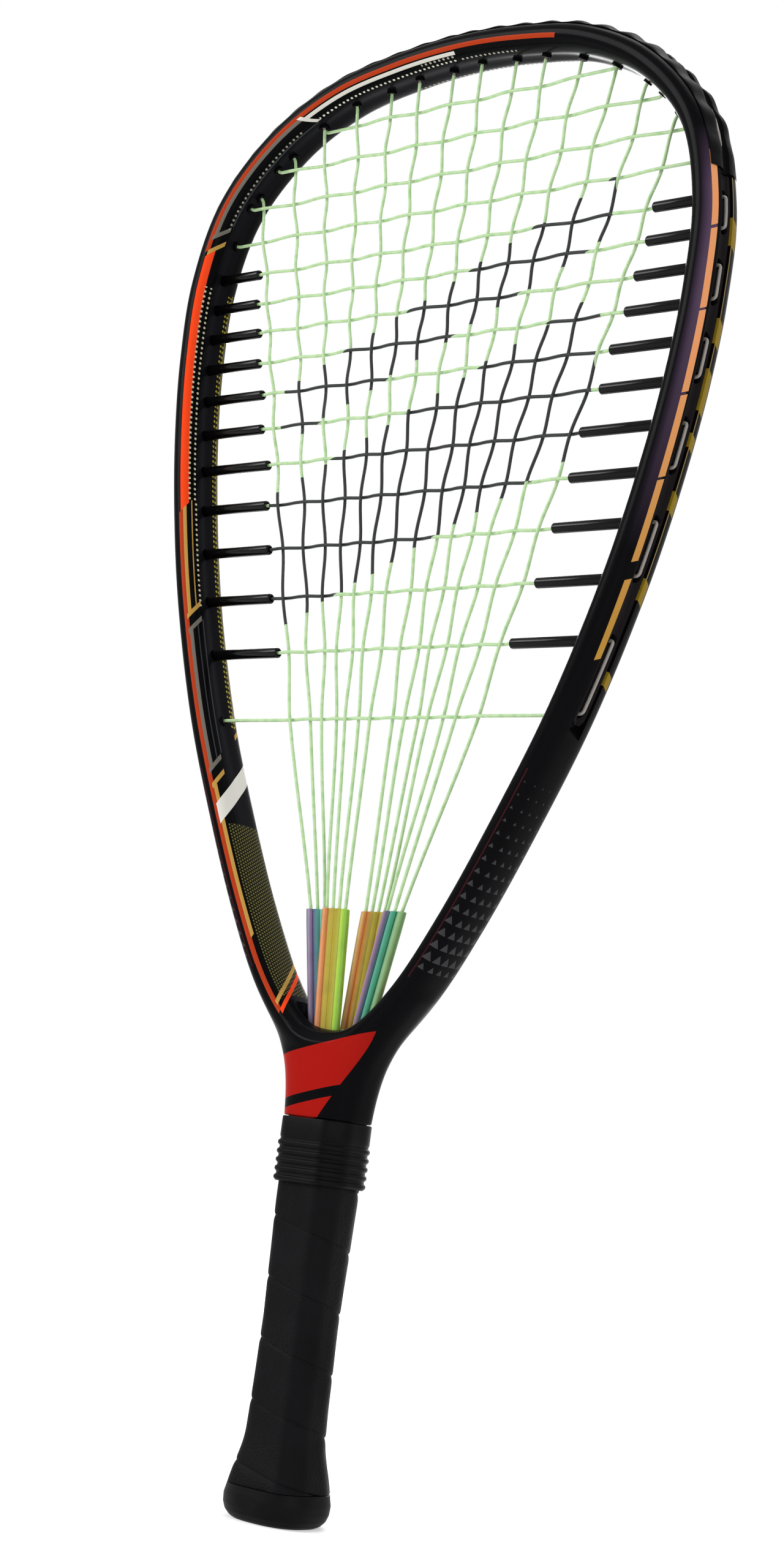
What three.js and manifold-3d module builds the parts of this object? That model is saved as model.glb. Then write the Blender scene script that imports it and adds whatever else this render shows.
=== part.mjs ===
// A racquetball racket: hollow teardrop frame, woven string bed, string tubes, sleeves, handle and grip.
// Millimetres. X runs across the head, Y through it (front is -Y), Z up the racket from the butt.
import * as THREE from 'three';
import { mergeVertices } from 'three/addons/utils/BufferGeometryUtils.js';
import Module from 'manifold-3d';

const wasm = await Module();
wasm.setup();

// Clearances
const fitGap = 0.3; // between pieces that seat on each other
const endGap = 0.3; // between the ends of pieces in one line
const overlap = 0.5; // between bodies that are joined into one
const beyond = 2; // how far a cutter runs past the faces that it cuts
const stepHeight = 0.05; // height of a level step in a stack of outlines

// Rim: the middle line of the tube on its right half, as [distance from the middle, height]
const rimLine = [
  [0, 168.5], [11, 170.2], [20, 175.8], [33.2, 190], [49.5, 216], [68.3, 252.3], [86, 291],
  [102.2, 337.8], [111.8, 375.6], [117.9, 408.6], [121.2, 440], [120.8, 472.4], [111.5, 504.4],
  [89.2, 529.2], [60.2, 544.3], [29.5, 550.3], [0, 552.2],
];
const [, rimTop] = rimLine[rimLine.length - 1];
const rimHalfWidth = 5.3; // across the tube, in the plane of the strings
const rimHalfDepth = 10.8; // through the racket
const rimRoundness = 2.6; // 2 is an ellipse, more is squarer
const rimSides = 12;
const hollowSides = 6;
const wall = 1.2; // of the composite
const lowerSections = 12; // from the crotch to the end of the guard, on one side
const upperSections = 15; // and from there to the top
const bendLength = 90; // of straight rim that takes as many sections as one radian of bend

// Groove round the outside of the rim, and what lies in it
const grooveDepth = 2.6;
const grooveHalfWidth = 3.8;
const stripThickness = 1.5;
const channelDepth = 0.7; // for the string, in the strip's outer face
const channelHalfWidth = 1.75;
const stripMargin = 6.5; // of the strips' groove below the lowest cross
const stripEndShare = 0.6; // of the width, left at a strip's rounded end
const stripEndLength = 0.14; // sections
const guardFoot = 484; // height of the guard's lower ends
const guardStand = 1.5; // how far the guard stands proud of the rim
const guardHalfWidth = 8.4;
const guardLip = 0.7; // thickness of its skirts' edges
const guardLipSlope = 0.2; // how far those edges slope in
const guardCrown = 0.68; // share of the half width that stands proud
const scallopDepth = 0.9;
const guardRise = 3; // sections over which the guard rises from its ends

// Strings
const stringDiameter = 1.3;
const stringSides = 5;
const weaveGap = 0.4; // between mains and crosses where they pass
const boreRadius = 1.1; // every hole that a string passes
const mainAtTop = [7.5, 22.9, 38.3, 54.7, 72.3, 90.3, 110]; // distance from the middle at topGauge
const mainAtFoot = [4.8, 11.7, 17, 22.6, 28.6, 35.7, 44.7]; // and at the lowest cross
const gaugeDrop = 7.2; // of the top gauge below the top of the rim's middle line
const topGauge = rimTop - gaugeDrop;
const upperRowCount = 4;
const upperRowTop = 532.5;
const upperRowPitch = 14.3;
const tubeRowTop = 475.3;
const tubeRowPitch = 12.6; // between the top two tubes
const tubeRowGrowth = 0.115; // each later gap adds this times its number squared
const footRow = 290;
const cornerCut = 0.6; // where a string turns sharply
const sharpTurn = 1.1; // radians

// Tubes that lead the crosses, as how far each stops short of the outermost main, top to bottom
const tubeTipGaps = [3, 5, 5, 6, 5, 6.4, 4, 6, 6, 6.6, 4.4];
const tubeRadius = 2;
const barrelRadius = 1.75; // grommet barrels of the guard and strips
const barrelStand = 0.8; // how far they reach past the inner face
const turnLead = 0.8; // from a barrel's mouth to where its string turns
const holeSides = 6; // of tubes, barrels and their holes

// Sleeves: barrels side by side, in a rear and a front layer
const sleeveLength = 70;
const sleeveFootRise = 6.5; // of their feet above the foot of the neck
const innerTipPitch = 3;
const outerTipPitch = 3.4;
const sleeveFootPitch = 2.7;
const sleeveTipRadius = 2;
const sleeveFootRadius = 1.58;
const sleeveLayer = 2.15; // of each layer from the middle plane
const innerTipStart = 3.1; // innermost barrel of the inner bundles, from the middle
const outerTipStart = 16.9; // and of the outer bundles
const innerFootStart = -1.6; // past the middle, where the two layers cross
const outerFootStart = 4.7;
const bundleSizes = [3, 4, 4, 3]; // left to right
const bundleLayers = [1, -1, 1, -1]; // rear is 1
const sleeveBorePast = 0.02; // how far a bore runs past each end, as a share of the length

// Neck above the shaft, as [height, half width, half depth]
const neckRows = [
  [141.5, 15.6, 12.2], [148, 16.3, 12.2], [154, 17.5, 12.1], [160, 19.3, 12],
  [165, 21.8, 11.7], [170, 25, 11.4], [175, 28.5, 11], [181, 33, 10.7],
];
const neckRoundness = 3;
const neckSides = 16;
const landHalfWidth = 14; // the part of the shaft that the collar covers
const landHalfDepth = 11.6;
const landRoundness = 2.8;
const tenonTop = 125;
const tenonTaperFoot = 96;
const tenonFoot = 34;
const tenonShoulder = [10.6, 8.4]; // half width and half depth at its top
const tenonEnd = [9.6, 7.6]; // and below its taper
const tenonCorner = 2.4;
const tenonWall = 1.4;
const stringWayDrop = 7; // how far the string way stays wide below the sleeves
const stringWayTop = 197;
const stringWaySide = 1.5; // gap beside the sleeves
const stringWayFace = 0.4; // and before and behind them
const stringWayCorner = 0.5;

// Pin that the mains turn round, inside the tenon
const pinHeight = 105;
const pinRadius = 2.6;
const pinSides = 8;
const pinSlotPitch = 2.05; // between neighbouring turns
const turnSlack = 0.3;
const tailLength = 4;

// Grip, as [height, half width] of the wrap's outside
const gripRows = [
  [12, 17.4], [17, 16.3], [22, 15], [26, 14.1], [30, 13.6], [40, 13.3], [70, 12.9], [100, 13.6],
  [112, 13.9], [118.6, 13.9],
];
const gripTop = 124;
const depthShare = 0.84; // an octagon's half depth over its half width
const sideFlat = 0.44; // half height of the side flat over the half depth
const faceFlat = 0.695; // half width of the front flat over the half width
const wrapThickness = 1.1;
const seamPitch = 21.5;
const seamTop = 116;
const seamFoot = 16;
const seamStep = 0.45;
const seamRamp = 2.4;
const seamFeather = 0.02; // clearance of the cutter over the ramp's end
const tapeThickness = 0.45;
const palletFootWidth = 11.2; // half width of its foot, inside the butt cap

// Collar
const collarFoot = 118;
const collarTop = 141.2;
const collarGap = 0.35; // round the wrap
const ribCount = 5;
const ribPitch = 3.1;
const ribCrest = 0.55; // share of the pitch
const ribWall = 1.75;
const furrowWall = 1.15;
const bandWall = 1.25;
const collarEdge = 0.5;

// Butt cap and staples
const capRows = [[0, 14.5], [0.8, 16.2], [2.6, 17.9], [5, 18.8], [8, 19], [11.7, 18.2]];
const capDepthShare = 0.86;
const capRoundness = 2.5;
const capSides = 16;
const capFloor = 4;
const capSkirtTop = 26;
const stapleHeight = 20;
const stapleSpan = 7;
const stapleWire = 0.8;
const stapleReach = 5;
const stapleSunk = 0.35; // below the skirt's face

// Geometry helpers

function signedVolume(points, triangles) {
  let volume = 0;
  for (let i = 0; i < triangles.length; i += 3) {
    const [a, b, c] = [0, 1, 2].map((k) => points[triangles[i + k]]);
    volume += a.dot(b.clone().cross(c)) / 6;
  }
  return volume;
}

function meshGeometry(points, triangles) {
  if (signedVolume(points, triangles) < 0) {
    for (let i = 0; i < triangles.length; i += 3) {
      [triangles[i], triangles[i + 1]] = [triangles[i + 1], triangles[i]];
    }
  }
  const geometry = new THREE.BufferGeometry();
  geometry.setAttribute('position', new THREE.Float32BufferAttribute(points.flatMap((p) => p.toArray()), 3));
  geometry.setIndex(triangles);
  return geometry;
}

// Joins rings of points into one closed body. outline is a ring's flat shape, for the end faces.
function loft(rings, outline, closedLoop = false) {
  const count = rings[0].length;
  const triangles = [];
  const spans = closedLoop ? rings.length : rings.length - 1;
  for (let i = 0; i < spans; i++) {
    const a = i * count;
    const b = ((i + 1) % rings.length) * count;
    for (let j = 0; j < count; j++) {
      const k = (j + 1) % count;
      triangles.push(a + j, a + k, b + k, a + j, b + k, b + j);
    }
  }
  if (!closedLoop) {
    const flat = outline.map(([u, v]) => new THREE.Vector2(u, v));
    const turned = THREE.ShapeUtils.area(flat) < 0;
    const last = (rings.length - 1) * count;
    for (const [p, q, r] of THREE.ShapeUtils.triangulateShape(flat, [])) {
      const [a, b, c] = turned ? [r, q, p] : [p, q, r];
      triangles.push(c, b, a, last + a, last + b, last + c);
    }
  }
  return meshGeometry(rings.flat(), triangles);
}

function solid(geometry) {
  const merged = mergeVertices(geometry, 1e-4);
  return new wasm.Manifold(new wasm.Mesh({
    numProp: 3,
    vertProperties: new Float32Array(merged.getAttribute('position').array),
    triVerts: new Uint32Array(merged.getIndex().array),
  }));
}

function geometryOf(body) {
  const mesh = body.getMesh();
  const geometry = new THREE.BufferGeometry();
  geometry.setAttribute('position', new THREE.Float32BufferAttribute(mesh.vertProperties, 3));
  geometry.setIndex(Array.from(mesh.triVerts));
  return geometry;
}

const joined = (bodies) => bodies.reduce((sum, body) => sum.add(body));
const cutBy = (body, cutters) => cutters.reduce((rest, cutter) => rest.subtract(cutter), body);
const mirrored = (p) => new THREE.Vector3(-p.x, p.y, p.z);
const bothSides = (body) => [body, body.mirror([1, 0, 0])];

function superOutline(halfWidth, halfDepth, roundness, sides) {
  return Array.from({ length: sides }, (_, i) => {
    const angle = ((i + 0.5) / sides) * Math.PI * 2;
    const power = (v) => Math.sign(v) * Math.abs(v) ** (2 / roundness);
    return [halfWidth * power(Math.cos(angle)), halfDepth * power(Math.sin(angle))];
  });
}

function eightSides(halfWidth, halfDepth, u, v) {
  const [w, d] = [halfWidth, halfDepth];
  return [[w, -v], [w, v], [u, d], [-u, d], [-w, v], [-w, -v], [-u, -d], [u, -d]];
}

const cutRectangle = (w, d, cut) => eightSides(w, d, w - cut, d - cut);
const octagon = (w, d) => eightSides(w, d, w * faceFlat, d * sideFlat);
const gripSection = (halfWidth, inset = 0) => octagon(halfWidth - inset, halfWidth * depthShare - inset);

function stack(levels) {
  const rings = levels.map(([z, outline]) => outline.map(([x, y]) => new THREE.Vector3(x, y, z)));
  return solid(loft(rings, levels[0][1]));
}

function prism(from, to, radius, sides) {
  const along = to.clone().sub(from).normalize();
  const side = new THREE.Vector3(0, 1, 0);
  const across = along.clone().cross(side);
  const outline = superOutline(radius, radius, 2, sides);
  const rings = [from, to].map((centre) => outline.map(([u, v]) => (
    centre.clone().addScaledVector(across, u).addScaledVector(side, v)
  )));
  return solid(loft(rings, outline));
}

function block([x0, x1], [y0, y1], [z0, z1]) {
  const box = new THREE.BoxGeometry(x1 - x0, y1 - y0, z1 - z0);
  box.translate((x0 + x1) / 2, (y0 + y1) / 2, (z0 + z1) / 2);
  box.deleteAttribute('normal');
  box.deleteAttribute('uv');
  return solid(box);
}

// Rim sections: points of the middle line with the outward direction there, from the crotch to the top

const rimCurve = new THREE.CatmullRomCurve3(
  [...rimLine, ...rimLine.slice(1, -1).reverse().map(([x, z]) => [-x, z])]
    .map(([x, z]) => new THREE.Vector3(x, 0, z)),
  true,
);
const fineCount = 600;
const fineLine = Array.from({ length: fineCount + 1 }, (_, i) => {
  const point = rimCurve.getPointAt(i / fineCount / 2);
  const tangent = rimCurve.getTangentAt(i / fineCount / 2);
  return { x: point.x, z: point.z, nx: tangent.z, nz: -tangent.x };
});
fineLine[0] = { x: 0, z: rimLine[0][1], nx: 0, nz: -1 };
fineLine[fineCount] = { x: 0, z: rimLine[rimLine.length - 1][1], nx: 0, nz: 1 };

// Picks count + 1 places along a line, closer together where it bends
function spread(line, count, lengthPerRadian) {
  const reach = [0];
  for (let i = 1; i < line.length; i++) {
    const a = line[i - 1];
    const b = line[i];
    const bend = Math.acos(Math.min(1, a.nx * b.nx + a.nz * b.nz));
    reach.push(reach[i - 1] + Math.hypot(b.x - a.x, b.z - a.z) + lengthPerRadian * bend);
  }
  const total = reach[reach.length - 1];
  return Array.from({ length: count + 1 }, (_, i) => (
    line[reach.findIndex((value) => value >= (total * i) / count - 1e-9)]
  ));
}

const guardStart = fineLine.findIndex((p) => p.z >= guardFoot && p.x > 0);
const sections = [
  ...spread(fineLine.slice(0, guardStart + 1), lowerSections, bendLength).slice(0, -1),
  ...spread(fineLine.slice(guardStart), upperSections, 0),
];
const topPlace = sections.length - 1;

// A point of the rim, n outward from its middle line and y behind it. The place w counts sections from
// the crotch up the right side to topPlace, and on down the left side to twice that.
function rimPoint(w, n, y = 0) {
  if (w > topPlace) return mirrored(rimPoint(2 * topPlace - w, n, y));
  const i = Math.min(Math.floor(w), topPlace - 1);
  const a = sections[i];
  const b = sections[i + 1];
  const mix = (p, q) => p + (q - p) * (w - i);
  return new THREE.Vector3(mix(a.x + a.nx * n, b.x + b.nx * n), y, mix(a.z + a.nz * n, b.z + b.nz * n));
}

// Place on the right side where the line n outward from the middle line has level() at zero
function placeWhere(n, level) {
  for (let i = topPlace - 1; i >= 0; i--) {
    const low = level(rimPoint(i, n));
    const high = level(rimPoint(i + 1, n));
    if ((low <= 0) !== (high <= 0)) return i + low / (low - high);
  }
  throw new Error('the line does not meet the rim');
}

const placeAtHeight = (n, z) => placeWhere(n, (p) => p.z - z);
const onSide = (w, side) => (side > 0 ? w : 2 * topPlace - w);

// Two places with the sections between them
function placesBetween(from, to) {
  const least = 0.05;
  const places = [from, to];
  for (let w = Math.ceil(Math.min(from, to) + least); w <= Math.max(from, to) - least; w++) places.push(w);
  return places.sort((a, b) => (from < to ? a - b : b - a));
}

function rimSweep(outlineAt, places) {
  const rings = places.map((w) => outlineAt(w).map(([n, y]) => rimPoint(w, n, y)));
  return solid(loft(rings, outlineAt(places[0])));
}

function wholeRing(outline) {
  const rings = Array.from({ length: 2 * topPlace }, (_, w) => outline.map(([n, y]) => rimPoint(w, n, y)));
  return solid(loft(rings, outline, true));
}

// Distances outward from the rim's middle line
const flatFace = superOutline(rimHalfWidth, rimHalfDepth, rimRoundness, rimSides)[0][0];
const grooveFloor = flatFace - grooveDepth;
const stripInner = grooveFloor + fitGap;
const stripOuter = stripInner + stripThickness;
const channelFloor = stripOuter - channelDepth;
const stringRadius = stringDiameter / 2;
const stringLine = channelFloor + fitGap + stringRadius;
const barrelMouth = -rimHalfWidth - barrelStand;
const turnLine = barrelMouth - turnLead;

// Rows of crosses, top to bottom
const upperRows = Array.from({ length: upperRowCount }, (_, i) => upperRowTop - i * upperRowPitch);
const tubeRows = [tubeRowTop];
for (let i = 1; i < tubeTipGaps.length; i++) {
  tubeRows.push(tubeRows[i - 1] - tubeRowPitch - tubeRowGrowth * (i - 1) ** 2);
}
const rows = [...upperRows, ...tubeRows, footRow];

// Mains, numbered from the left
const mainCount = mainAtTop.length * 2;
const allMains = Array.from({ length: mainCount }, (_, k) => k);
const sideOf = (k) => (k < mainAtTop.length ? -1 : 1);

function mainAt(k, z) {
  const i = sideOf(k) < 0 ? mainAtTop.length - 1 - k : k - mainAtTop.length;
  const share = (z - footRow) / (topGauge - footRow);
  return sideOf(k) * (mainAtFoot[i] + (mainAtTop[i] - mainAtFoot[i]) * share);
}

// How far behind the middle plane a main passes a cross. Each string keeps to its side on through the rim.
const weave = (stringDiameter + weaveGap) / 2;
const mainSide = (row, k) => ((row + k) % 2 === 0 ? weave : -weave);

const mainWays = allMains.map((k) => {
  const right = placeWhere(turnLine, (p) => p.x - Math.abs(mainAt(k, p.z)));
  const place = onSide(right, sideOf(k));
  const topRow = rows.findIndex((z) => z < rimPoint(place, turnLine).z - cornerCut);
  const y = mainSide(topRow, k);
  return { place, y, topRow, turn: rimPoint(place, turnLine, y) };
});
const mainsCrossed = (row) => allMains.filter((k) => row >= mainWays[k].topRow);

// Where a row of cross string turns into the rim on one side, and its place outside
function crossWay(row, side) {
  const z = rows[row];
  if (row < upperRowCount) {
    const crossed = mainsCrossed(row);
    const y = -mainSide(row, side > 0 ? crossed[crossed.length - 1] : crossed[0]);
    const place = onSide(placeAtHeight(turnLine, z), side);
    return { place, y, turn: rimPoint(place, turnLine, y) };
  }
  const place = onSide(placeAtHeight(stringLine, z), side);
  const tube = row - upperRowCount;
  const inner = tube < tubeRows.length
    ? Math.abs(mainAt(0, z)) + tubeTipGaps[tube] - endGap
    : rimPoint(placeAtHeight(turnLine, z), turnLine).x;
  return { place, y: 0, turn: new THREE.Vector3(side * inner, 0, z) };
}

// Holes and barrels

const round = ([from, to], radius) => prism(from, to, radius, holeSides);
const holeRadius = (radius) => radius + fitGap / Math.cos(Math.PI / holeSides);
const squareWay = ({ place, y }, nOut, nIn) => [rimPoint(place, nOut, y), rimPoint(place, nIn, y)];
const levelWay = (z, nOut, nIn) => [nOut, nIn].map((n) => rimPoint(placeAtHeight(n, z), n));
const nOutside = rimHalfWidth + beyond;
const nInside = barrelMouth - beyond;

const guardWays = [
  ...mainWays,
  ...upperRows.flatMap((_, row) => [crossWay(row, -1), crossWay(row, 1)]),
];

// Frame

const stripStart = placeAtHeight(0, footRow - stripMargin);
const guardEnd = placeAtHeight(stripOuter, guardFoot);
const stripEnd = placeAtHeight(stripOuter, guardFoot - 2 * endGap);

function headSpace() {
  const line = Array.from({ length: 2 * topPlace }, (_, w) => rimPoint(w, 0));
  const rings = [-2, 2].map((side) => line.map((p) => new THREE.Vector3(p.x, side * rimHalfDepth, p.z)));
  return solid(loft(rings, line.map((p) => [p.x, p.z])));
}

function shaftBody() {
  const neck = stack(neckRows.map(([z, w, d]) => [z, superOutline(w, d, neckRoundness, neckSides)]));
  const landOutline = superOutline(landHalfWidth, landHalfDepth, landRoundness, neckSides);
  const land = stack([[tenonTop, landOutline], [neckRows[0][0] + overlap, landOutline]]);
  const shoulder = cutRectangle(...tenonShoulder, tenonCorner);
  const end = cutRectangle(...tenonEnd, tenonCorner);
  const tenon = stack([[tenonFoot, end], [tenonTaperFoot, end], [tenonTop + overlap, shoulder]]);
  return joined([neck, land, tenon]).subtract(headSpace());
}

function stringWay() {
  const inTenon = ([w, d]) => cutRectangle(w - tenonWall, d - tenonWall, tenonCorner);
  const halfDepth = sleeveLayer + sleeveTipRadius + stringWayFace;
  const roundSleeves = (z) => cutRectangle(sleeveReach(z) + stringWaySide, halfDepth, stringWayCorner);
  const heights = [sleeveFootHeight - stringWayDrop, sleeveTipHeight, stringWayTop];
  return stack([
    [tenonFoot - beyond, inTenon(tenonEnd)],
    [tenonTaperFoot, inTenon(tenonEnd)],
    [tenonTop, inTenon(tenonShoulder)],
    ...heights.filter((z) => z <= stringWayTop).map((z) => [z, roundSleeves(z)]),
  ]);
}

function frameBody() {
  const ring = wholeRing(superOutline(rimHalfWidth, rimHalfDepth, rimRoundness, rimSides));
  const hollowOuter = grooveFloor - wall;
  const hollowInner = wall - rimHalfWidth;
  const hollow = wholeRing(
    superOutline((hollowOuter - hollowInner) / 2, rimHalfDepth - wall, rimRoundness, hollowSides)
      .map(([n, y]) => [n + (hollowOuter + hollowInner) / 2, y]),
  );
  const g = grooveHalfWidth;
  const grooveOutline = [[grooveFloor, -g], [nOutside, -g], [nOutside, g], [grooveFloor, g]];
  const groove = rimSweep(() => grooveOutline, placesBetween(stripStart, 2 * topPlace - stripStart));
  const pinEnds = [-1, 1].map((side) => new THREE.Vector3(side * (tenonShoulder[0] + beyond), 0, pinHeight));
  return cutBy(ring.add(shaftBody()), [
    hollow,
    stringWay(),
    groove,
    prism(...pinEnds, holeRadius(pinRadius), pinSides),
    ...tubeRows.flatMap((z) => bothSides(round(levelWay(z, nOutside, nInside), holeRadius(tubeRadius)))),
    ...bothSides(round(levelWay(footRow, nOutside, nInside), holeRadius(barrelRadius))),
    ...guardWays.map((way) => round(squareWay(way, nOutside, nInside), holeRadius(barrelRadius))),
  ]);
}

// Strips and guard

function stripOutline(share) {
  const w = (grooveHalfWidth - fitGap) * share;
  const c = channelHalfWidth * share;
  return [
    [stripInner, -w], [stripOuter, -w], [stripOuter, -c], [channelFloor, -c],
    [channelFloor, c], [stripOuter, c], [stripOuter, w], [stripInner, w],
  ];
}

function stripBody() {
  const places = [stripStart + stripEndLength, ...placesBetween(stripStart + 2 * stripEndLength, stripEnd)];
  const strip = rimSweep((w) => stripOutline(w === places[0] ? stripEndShare : 1), places);
  const barrel = round(levelWay(footRow, stripInner + overlap, barrelMouth), barrelRadius);
  const bores = [...tubeRows, footRow].map((z) => round(levelWay(z, nOutside, nInside), boreRadius));
  return cutBy(strip.add(barrel), bores);
}

function guardOutline(rise) {
  const edge = flatFace + guardLip + (guardStand - guardLip) * rise;
  const half = [
    [channelFloor, channelHalfWidth],
    [edge, channelHalfWidth + guardLip],
    [edge, guardHalfWidth * guardCrown],
    [flatFace, guardHalfWidth],
    [flatFace - guardLip, guardHalfWidth - guardLipSlope],
    [flatFace + fitGap, grooveHalfWidth - fitGap],
    [stripInner, grooveHalfWidth - fitGap],
  ];
  return [...half, ...half.map(([n, y]) => [n, -y]).reverse()];
}

function guardRiseAt(w) {
  const fromEnd = Math.min(w, 2 * topPlace - w) - guardEnd;
  const scallop = Math.round(w) % 2 === topPlace % 2 ? 0 : scallopDepth / (guardStand - guardLip);
  return Math.min(1, fromEnd / guardRise) * (1 - scallop);
}

function guardBody() {
  const places = placesBetween(guardEnd, 2 * topPlace - guardEnd);
  const guard = rimSweep((w) => guardOutline(guardRiseAt(w)), places);
  const nBase = stripInner + overlap;
  const grommets = guardWays.map((way) => round(squareWay(way, nBase, barrelMouth), barrelRadius));
  const bores = guardWays.map((way) => round(squareWay(way, nOutside, nInside), boreRadius));
  return cutBy(joined([guard, ...grommets]), bores);
}

// Tubes that lead the crosses, for the right side

function tubeBody(i) {
  const z = tubeRows[i];
  const tip = new THREE.Vector3(Math.abs(mainAt(0, z)) + tubeTipGaps[i], 0, z);
  const edges = [z - tubeRadius, z + tubeRadius].map((height) => levelWay(height, grooveFloor, 0)[0].x);
  const end = new THREE.Vector3(Math.min(...edges), 0, z);
  const before = tip.clone().setX(tip.x - beyond);
  const after = end.clone().setX(end.x + beyond);
  return round([tip, end], tubeRadius).subtract(round([before, after], boreRadius));
}

// Strings

function cutCorners(points) {
  return points.flatMap((p, i) => {
    if (i === 0 || i === points.length - 1) return [p];
    const before = points[i - 1].clone().sub(p);
    const after = points[i + 1].clone().sub(p);
    if (before.angleTo(after) > Math.PI - sharpTurn) return [p];
    const cut = Math.min(cornerCut, before.length() / 3, after.length() / 3);
    return [before, after].map((leg) => p.clone().addScaledVector(leg.normalize(), cut));
  });
}

function stringBody(route) {
  const points = cutCorners(route);
  const outline = superOutline(stringRadius, stringRadius, 2, stringSides);
  const side = new THREE.Vector3(0, 1, 0);
  const rings = points.map((p, i) => {
    const before = p.clone().sub(points[Math.max(i - 1, 0)]).normalize();
    const after = points[Math.min(i + 1, points.length - 1)].clone().sub(p).normalize();
    const along = before.add(after).normalize();
    side.addScaledVector(along, -side.dot(along)).normalize();
    const up = along.clone().cross(side);
    return outline.map(([u, v]) => p.clone().addScaledVector(side, u).addScaledVector(up, v));
  });
  return solid(loft(rings, outline));
}

// Points along the outside of the rim from one way through it to another
function outsideRim(from, to) {
  return placesBetween(from.place, to.place).map((w) => {
    const share = (w - from.place) / (to.place - from.place);
    return rimPoint(w, stringLine, from.y + (to.y - from.y) * share);
  });
}

function crossRoute() {
  const points = [rimPoint(crossWay(0, -1).place, stringLine, crossWay(0, -1).y)];
  rows.forEach((z, row) => {
    const heading = row % 2 === 0 ? 1 : -1;
    const crossings = mainsCrossed(row).map((k) => new THREE.Vector3(mainAt(k, z), -mainSide(row, k), z));
    const across = [crossWay(row, -1).turn, ...crossings, crossWay(row, 1).turn];
    points.push(...(heading > 0 ? across : across.reverse()));
    const out = crossWay(row, heading);
    if (row < rows.length - 1) points.push(...outsideRim(out, crossWay(row + 1, heading)));
    else points.push(rimPoint(out.place, stringLine, out.y));
  });
  return points;
}

// Barrels for mains 0 to 13: the bundle each is in, its layer, and its places at the sleeve's tip and foot
const barrels = bundleSizes.flatMap((size, bundle) => {
  const side = bundle < bundleSizes.length / 2 ? -1 : 1;
  const outer = bundle === 0 || bundle === bundleSizes.length - 1;
  return Array.from({ length: size }, (_, i) => {
    const place = side < 0 ? size - 1 - i : i;
    const [start, pitch] = outer ? [outerTipStart, outerTipPitch] : [innerTipStart, innerTipPitch];
    const tip = side * (start + place * pitch);
    const foot = side * ((outer ? outerFootStart : innerFootStart) + place * sleeveFootPitch);
    return { bundle, y: bundleLayers[bundle] * sleeveLayer, tip, foot };
  });
});

const sleeveFootHeight = neckRows[0][0] + sleeveFootRise;
const sleeveTipHeight = sleeveFootHeight + sleeveLength;

// Half the width of all the sleeves at a height, or at their tips above them
function sleeveReach(z) {
  const share = Math.min(1, (z - sleeveFootHeight) / sleeveLength);
  const radius = sleeveFootRadius + (sleeveTipRadius - sleeveFootRadius) * share;
  return Math.max(...barrels.map(({ foot, tip }) => Math.abs(foot + (tip - foot) * share))) + radius;
}

// Slots along the pin: each holds one turn, and the first and last hold the string's ends
const pinSlots = [[0], [1, 3], [2, 4], [5, 7], [6, 8], [9, 11], [10, 12], [13]];
const slotOf = (k) => pinSlots.findIndex((slot) => slot.includes(k));
const slotX = (k) => (slotOf(k) - (pinSlots.length - 1) / 2) * pinSlotPitch;
const turnRadius = pinRadius + fitGap + stringRadius + turnSlack;

// A main from the pin up to its turn into the rim
function mainRun(k) {
  const { y, tip, foot } = barrels[k];
  const crossings = rows.map((z, row) => new THREE.Vector3(mainAt(k, z), mainSide(row, k), z));
  return [
    new THREE.Vector3(slotX(k), Math.sign(y) * turnRadius, pinHeight),
    new THREE.Vector3(foot, y, sleeveFootHeight - endGap),
    new THREE.Vector3(tip, y, sleeveTipHeight + endGap),
    ...crossings.slice(mainWays[k].topRow).reverse(),
    mainWays[k].turn,
  ];
}

// Round under the pin from the main's side to the other
function pinTurn(k, steps) {
  const side = Math.sign(barrels[k].y);
  return Array.from({ length: steps }, (_, i) => {
    const angle = ((i + 1) * Math.PI) / 4;
    const y = side * turnRadius * Math.cos(angle);
    return new THREE.Vector3(slotX(k), y, pinHeight - turnRadius * Math.sin(angle));
  });
}

function endTail(k) {
  const turn = pinTurn(k, 4);
  return [...turn, turn[3].clone().setZ(pinHeight + tailLength)];
}

function mainRoute() {
  const points = [...endTail(0).reverse(), ...mainRun(0)];
  let k = 0;
  while (k !== mainCount - 1) {
    const next = k % 2 === 0 ? k + 1 : k - 1;
    points.push(...outsideRim(mainWays[k], mainWays[next]), ...mainRun(next).reverse());
    const partner = pinSlots[slotOf(next)].find((other) => other !== next);
    if (partner === undefined) {
      points.push(...endTail(next));
      k = next;
    } else {
      points.push(...pinTurn(next, 3), ...mainRun(partner));
      k = partner;
    }
  }
  return points;
}

// Sleeves

function sleeveBody(bundle) {
  const members = barrels.filter((one) => one.bundle === bundle);
  const heightAt = (share) => sleeveFootHeight + sleeveLength * share;
  const way = (one, footRadius, tipRadius, past) => stack(
    [[-past, footRadius], [1 + past, tipRadius]].map(([share, radius]) => [
      heightAt(share),
      superOutline(radius, radius, 2, holeSides)
        .map(([x, y]) => [x + one.foot + (one.tip - one.foot) * share, y + one.y]),
    ]),
  );
  const bores = members.map((one) => way(one, boreRadius, boreRadius, sleeveBorePast));
  return cutBy(joined(members.map((one) => way(one, sleeveFootRadius, sleeveTipRadius, 0))), bores);
}

// Handle

const [gripStep, collaredWidth] = gripRows[gripRows.length - 1]; // where the wrap steps in under its tape
const [collaredFoot] = gripRows[gripRows.length - 2]; // where it stops widening
const coverGap = wrapThickness + fitGap; // from the wrap's face to what it covers
const underTape = tapeThickness + fitGap;
const wrapBoreInset = wrapThickness + underTape / 2; // within the collar

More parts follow.
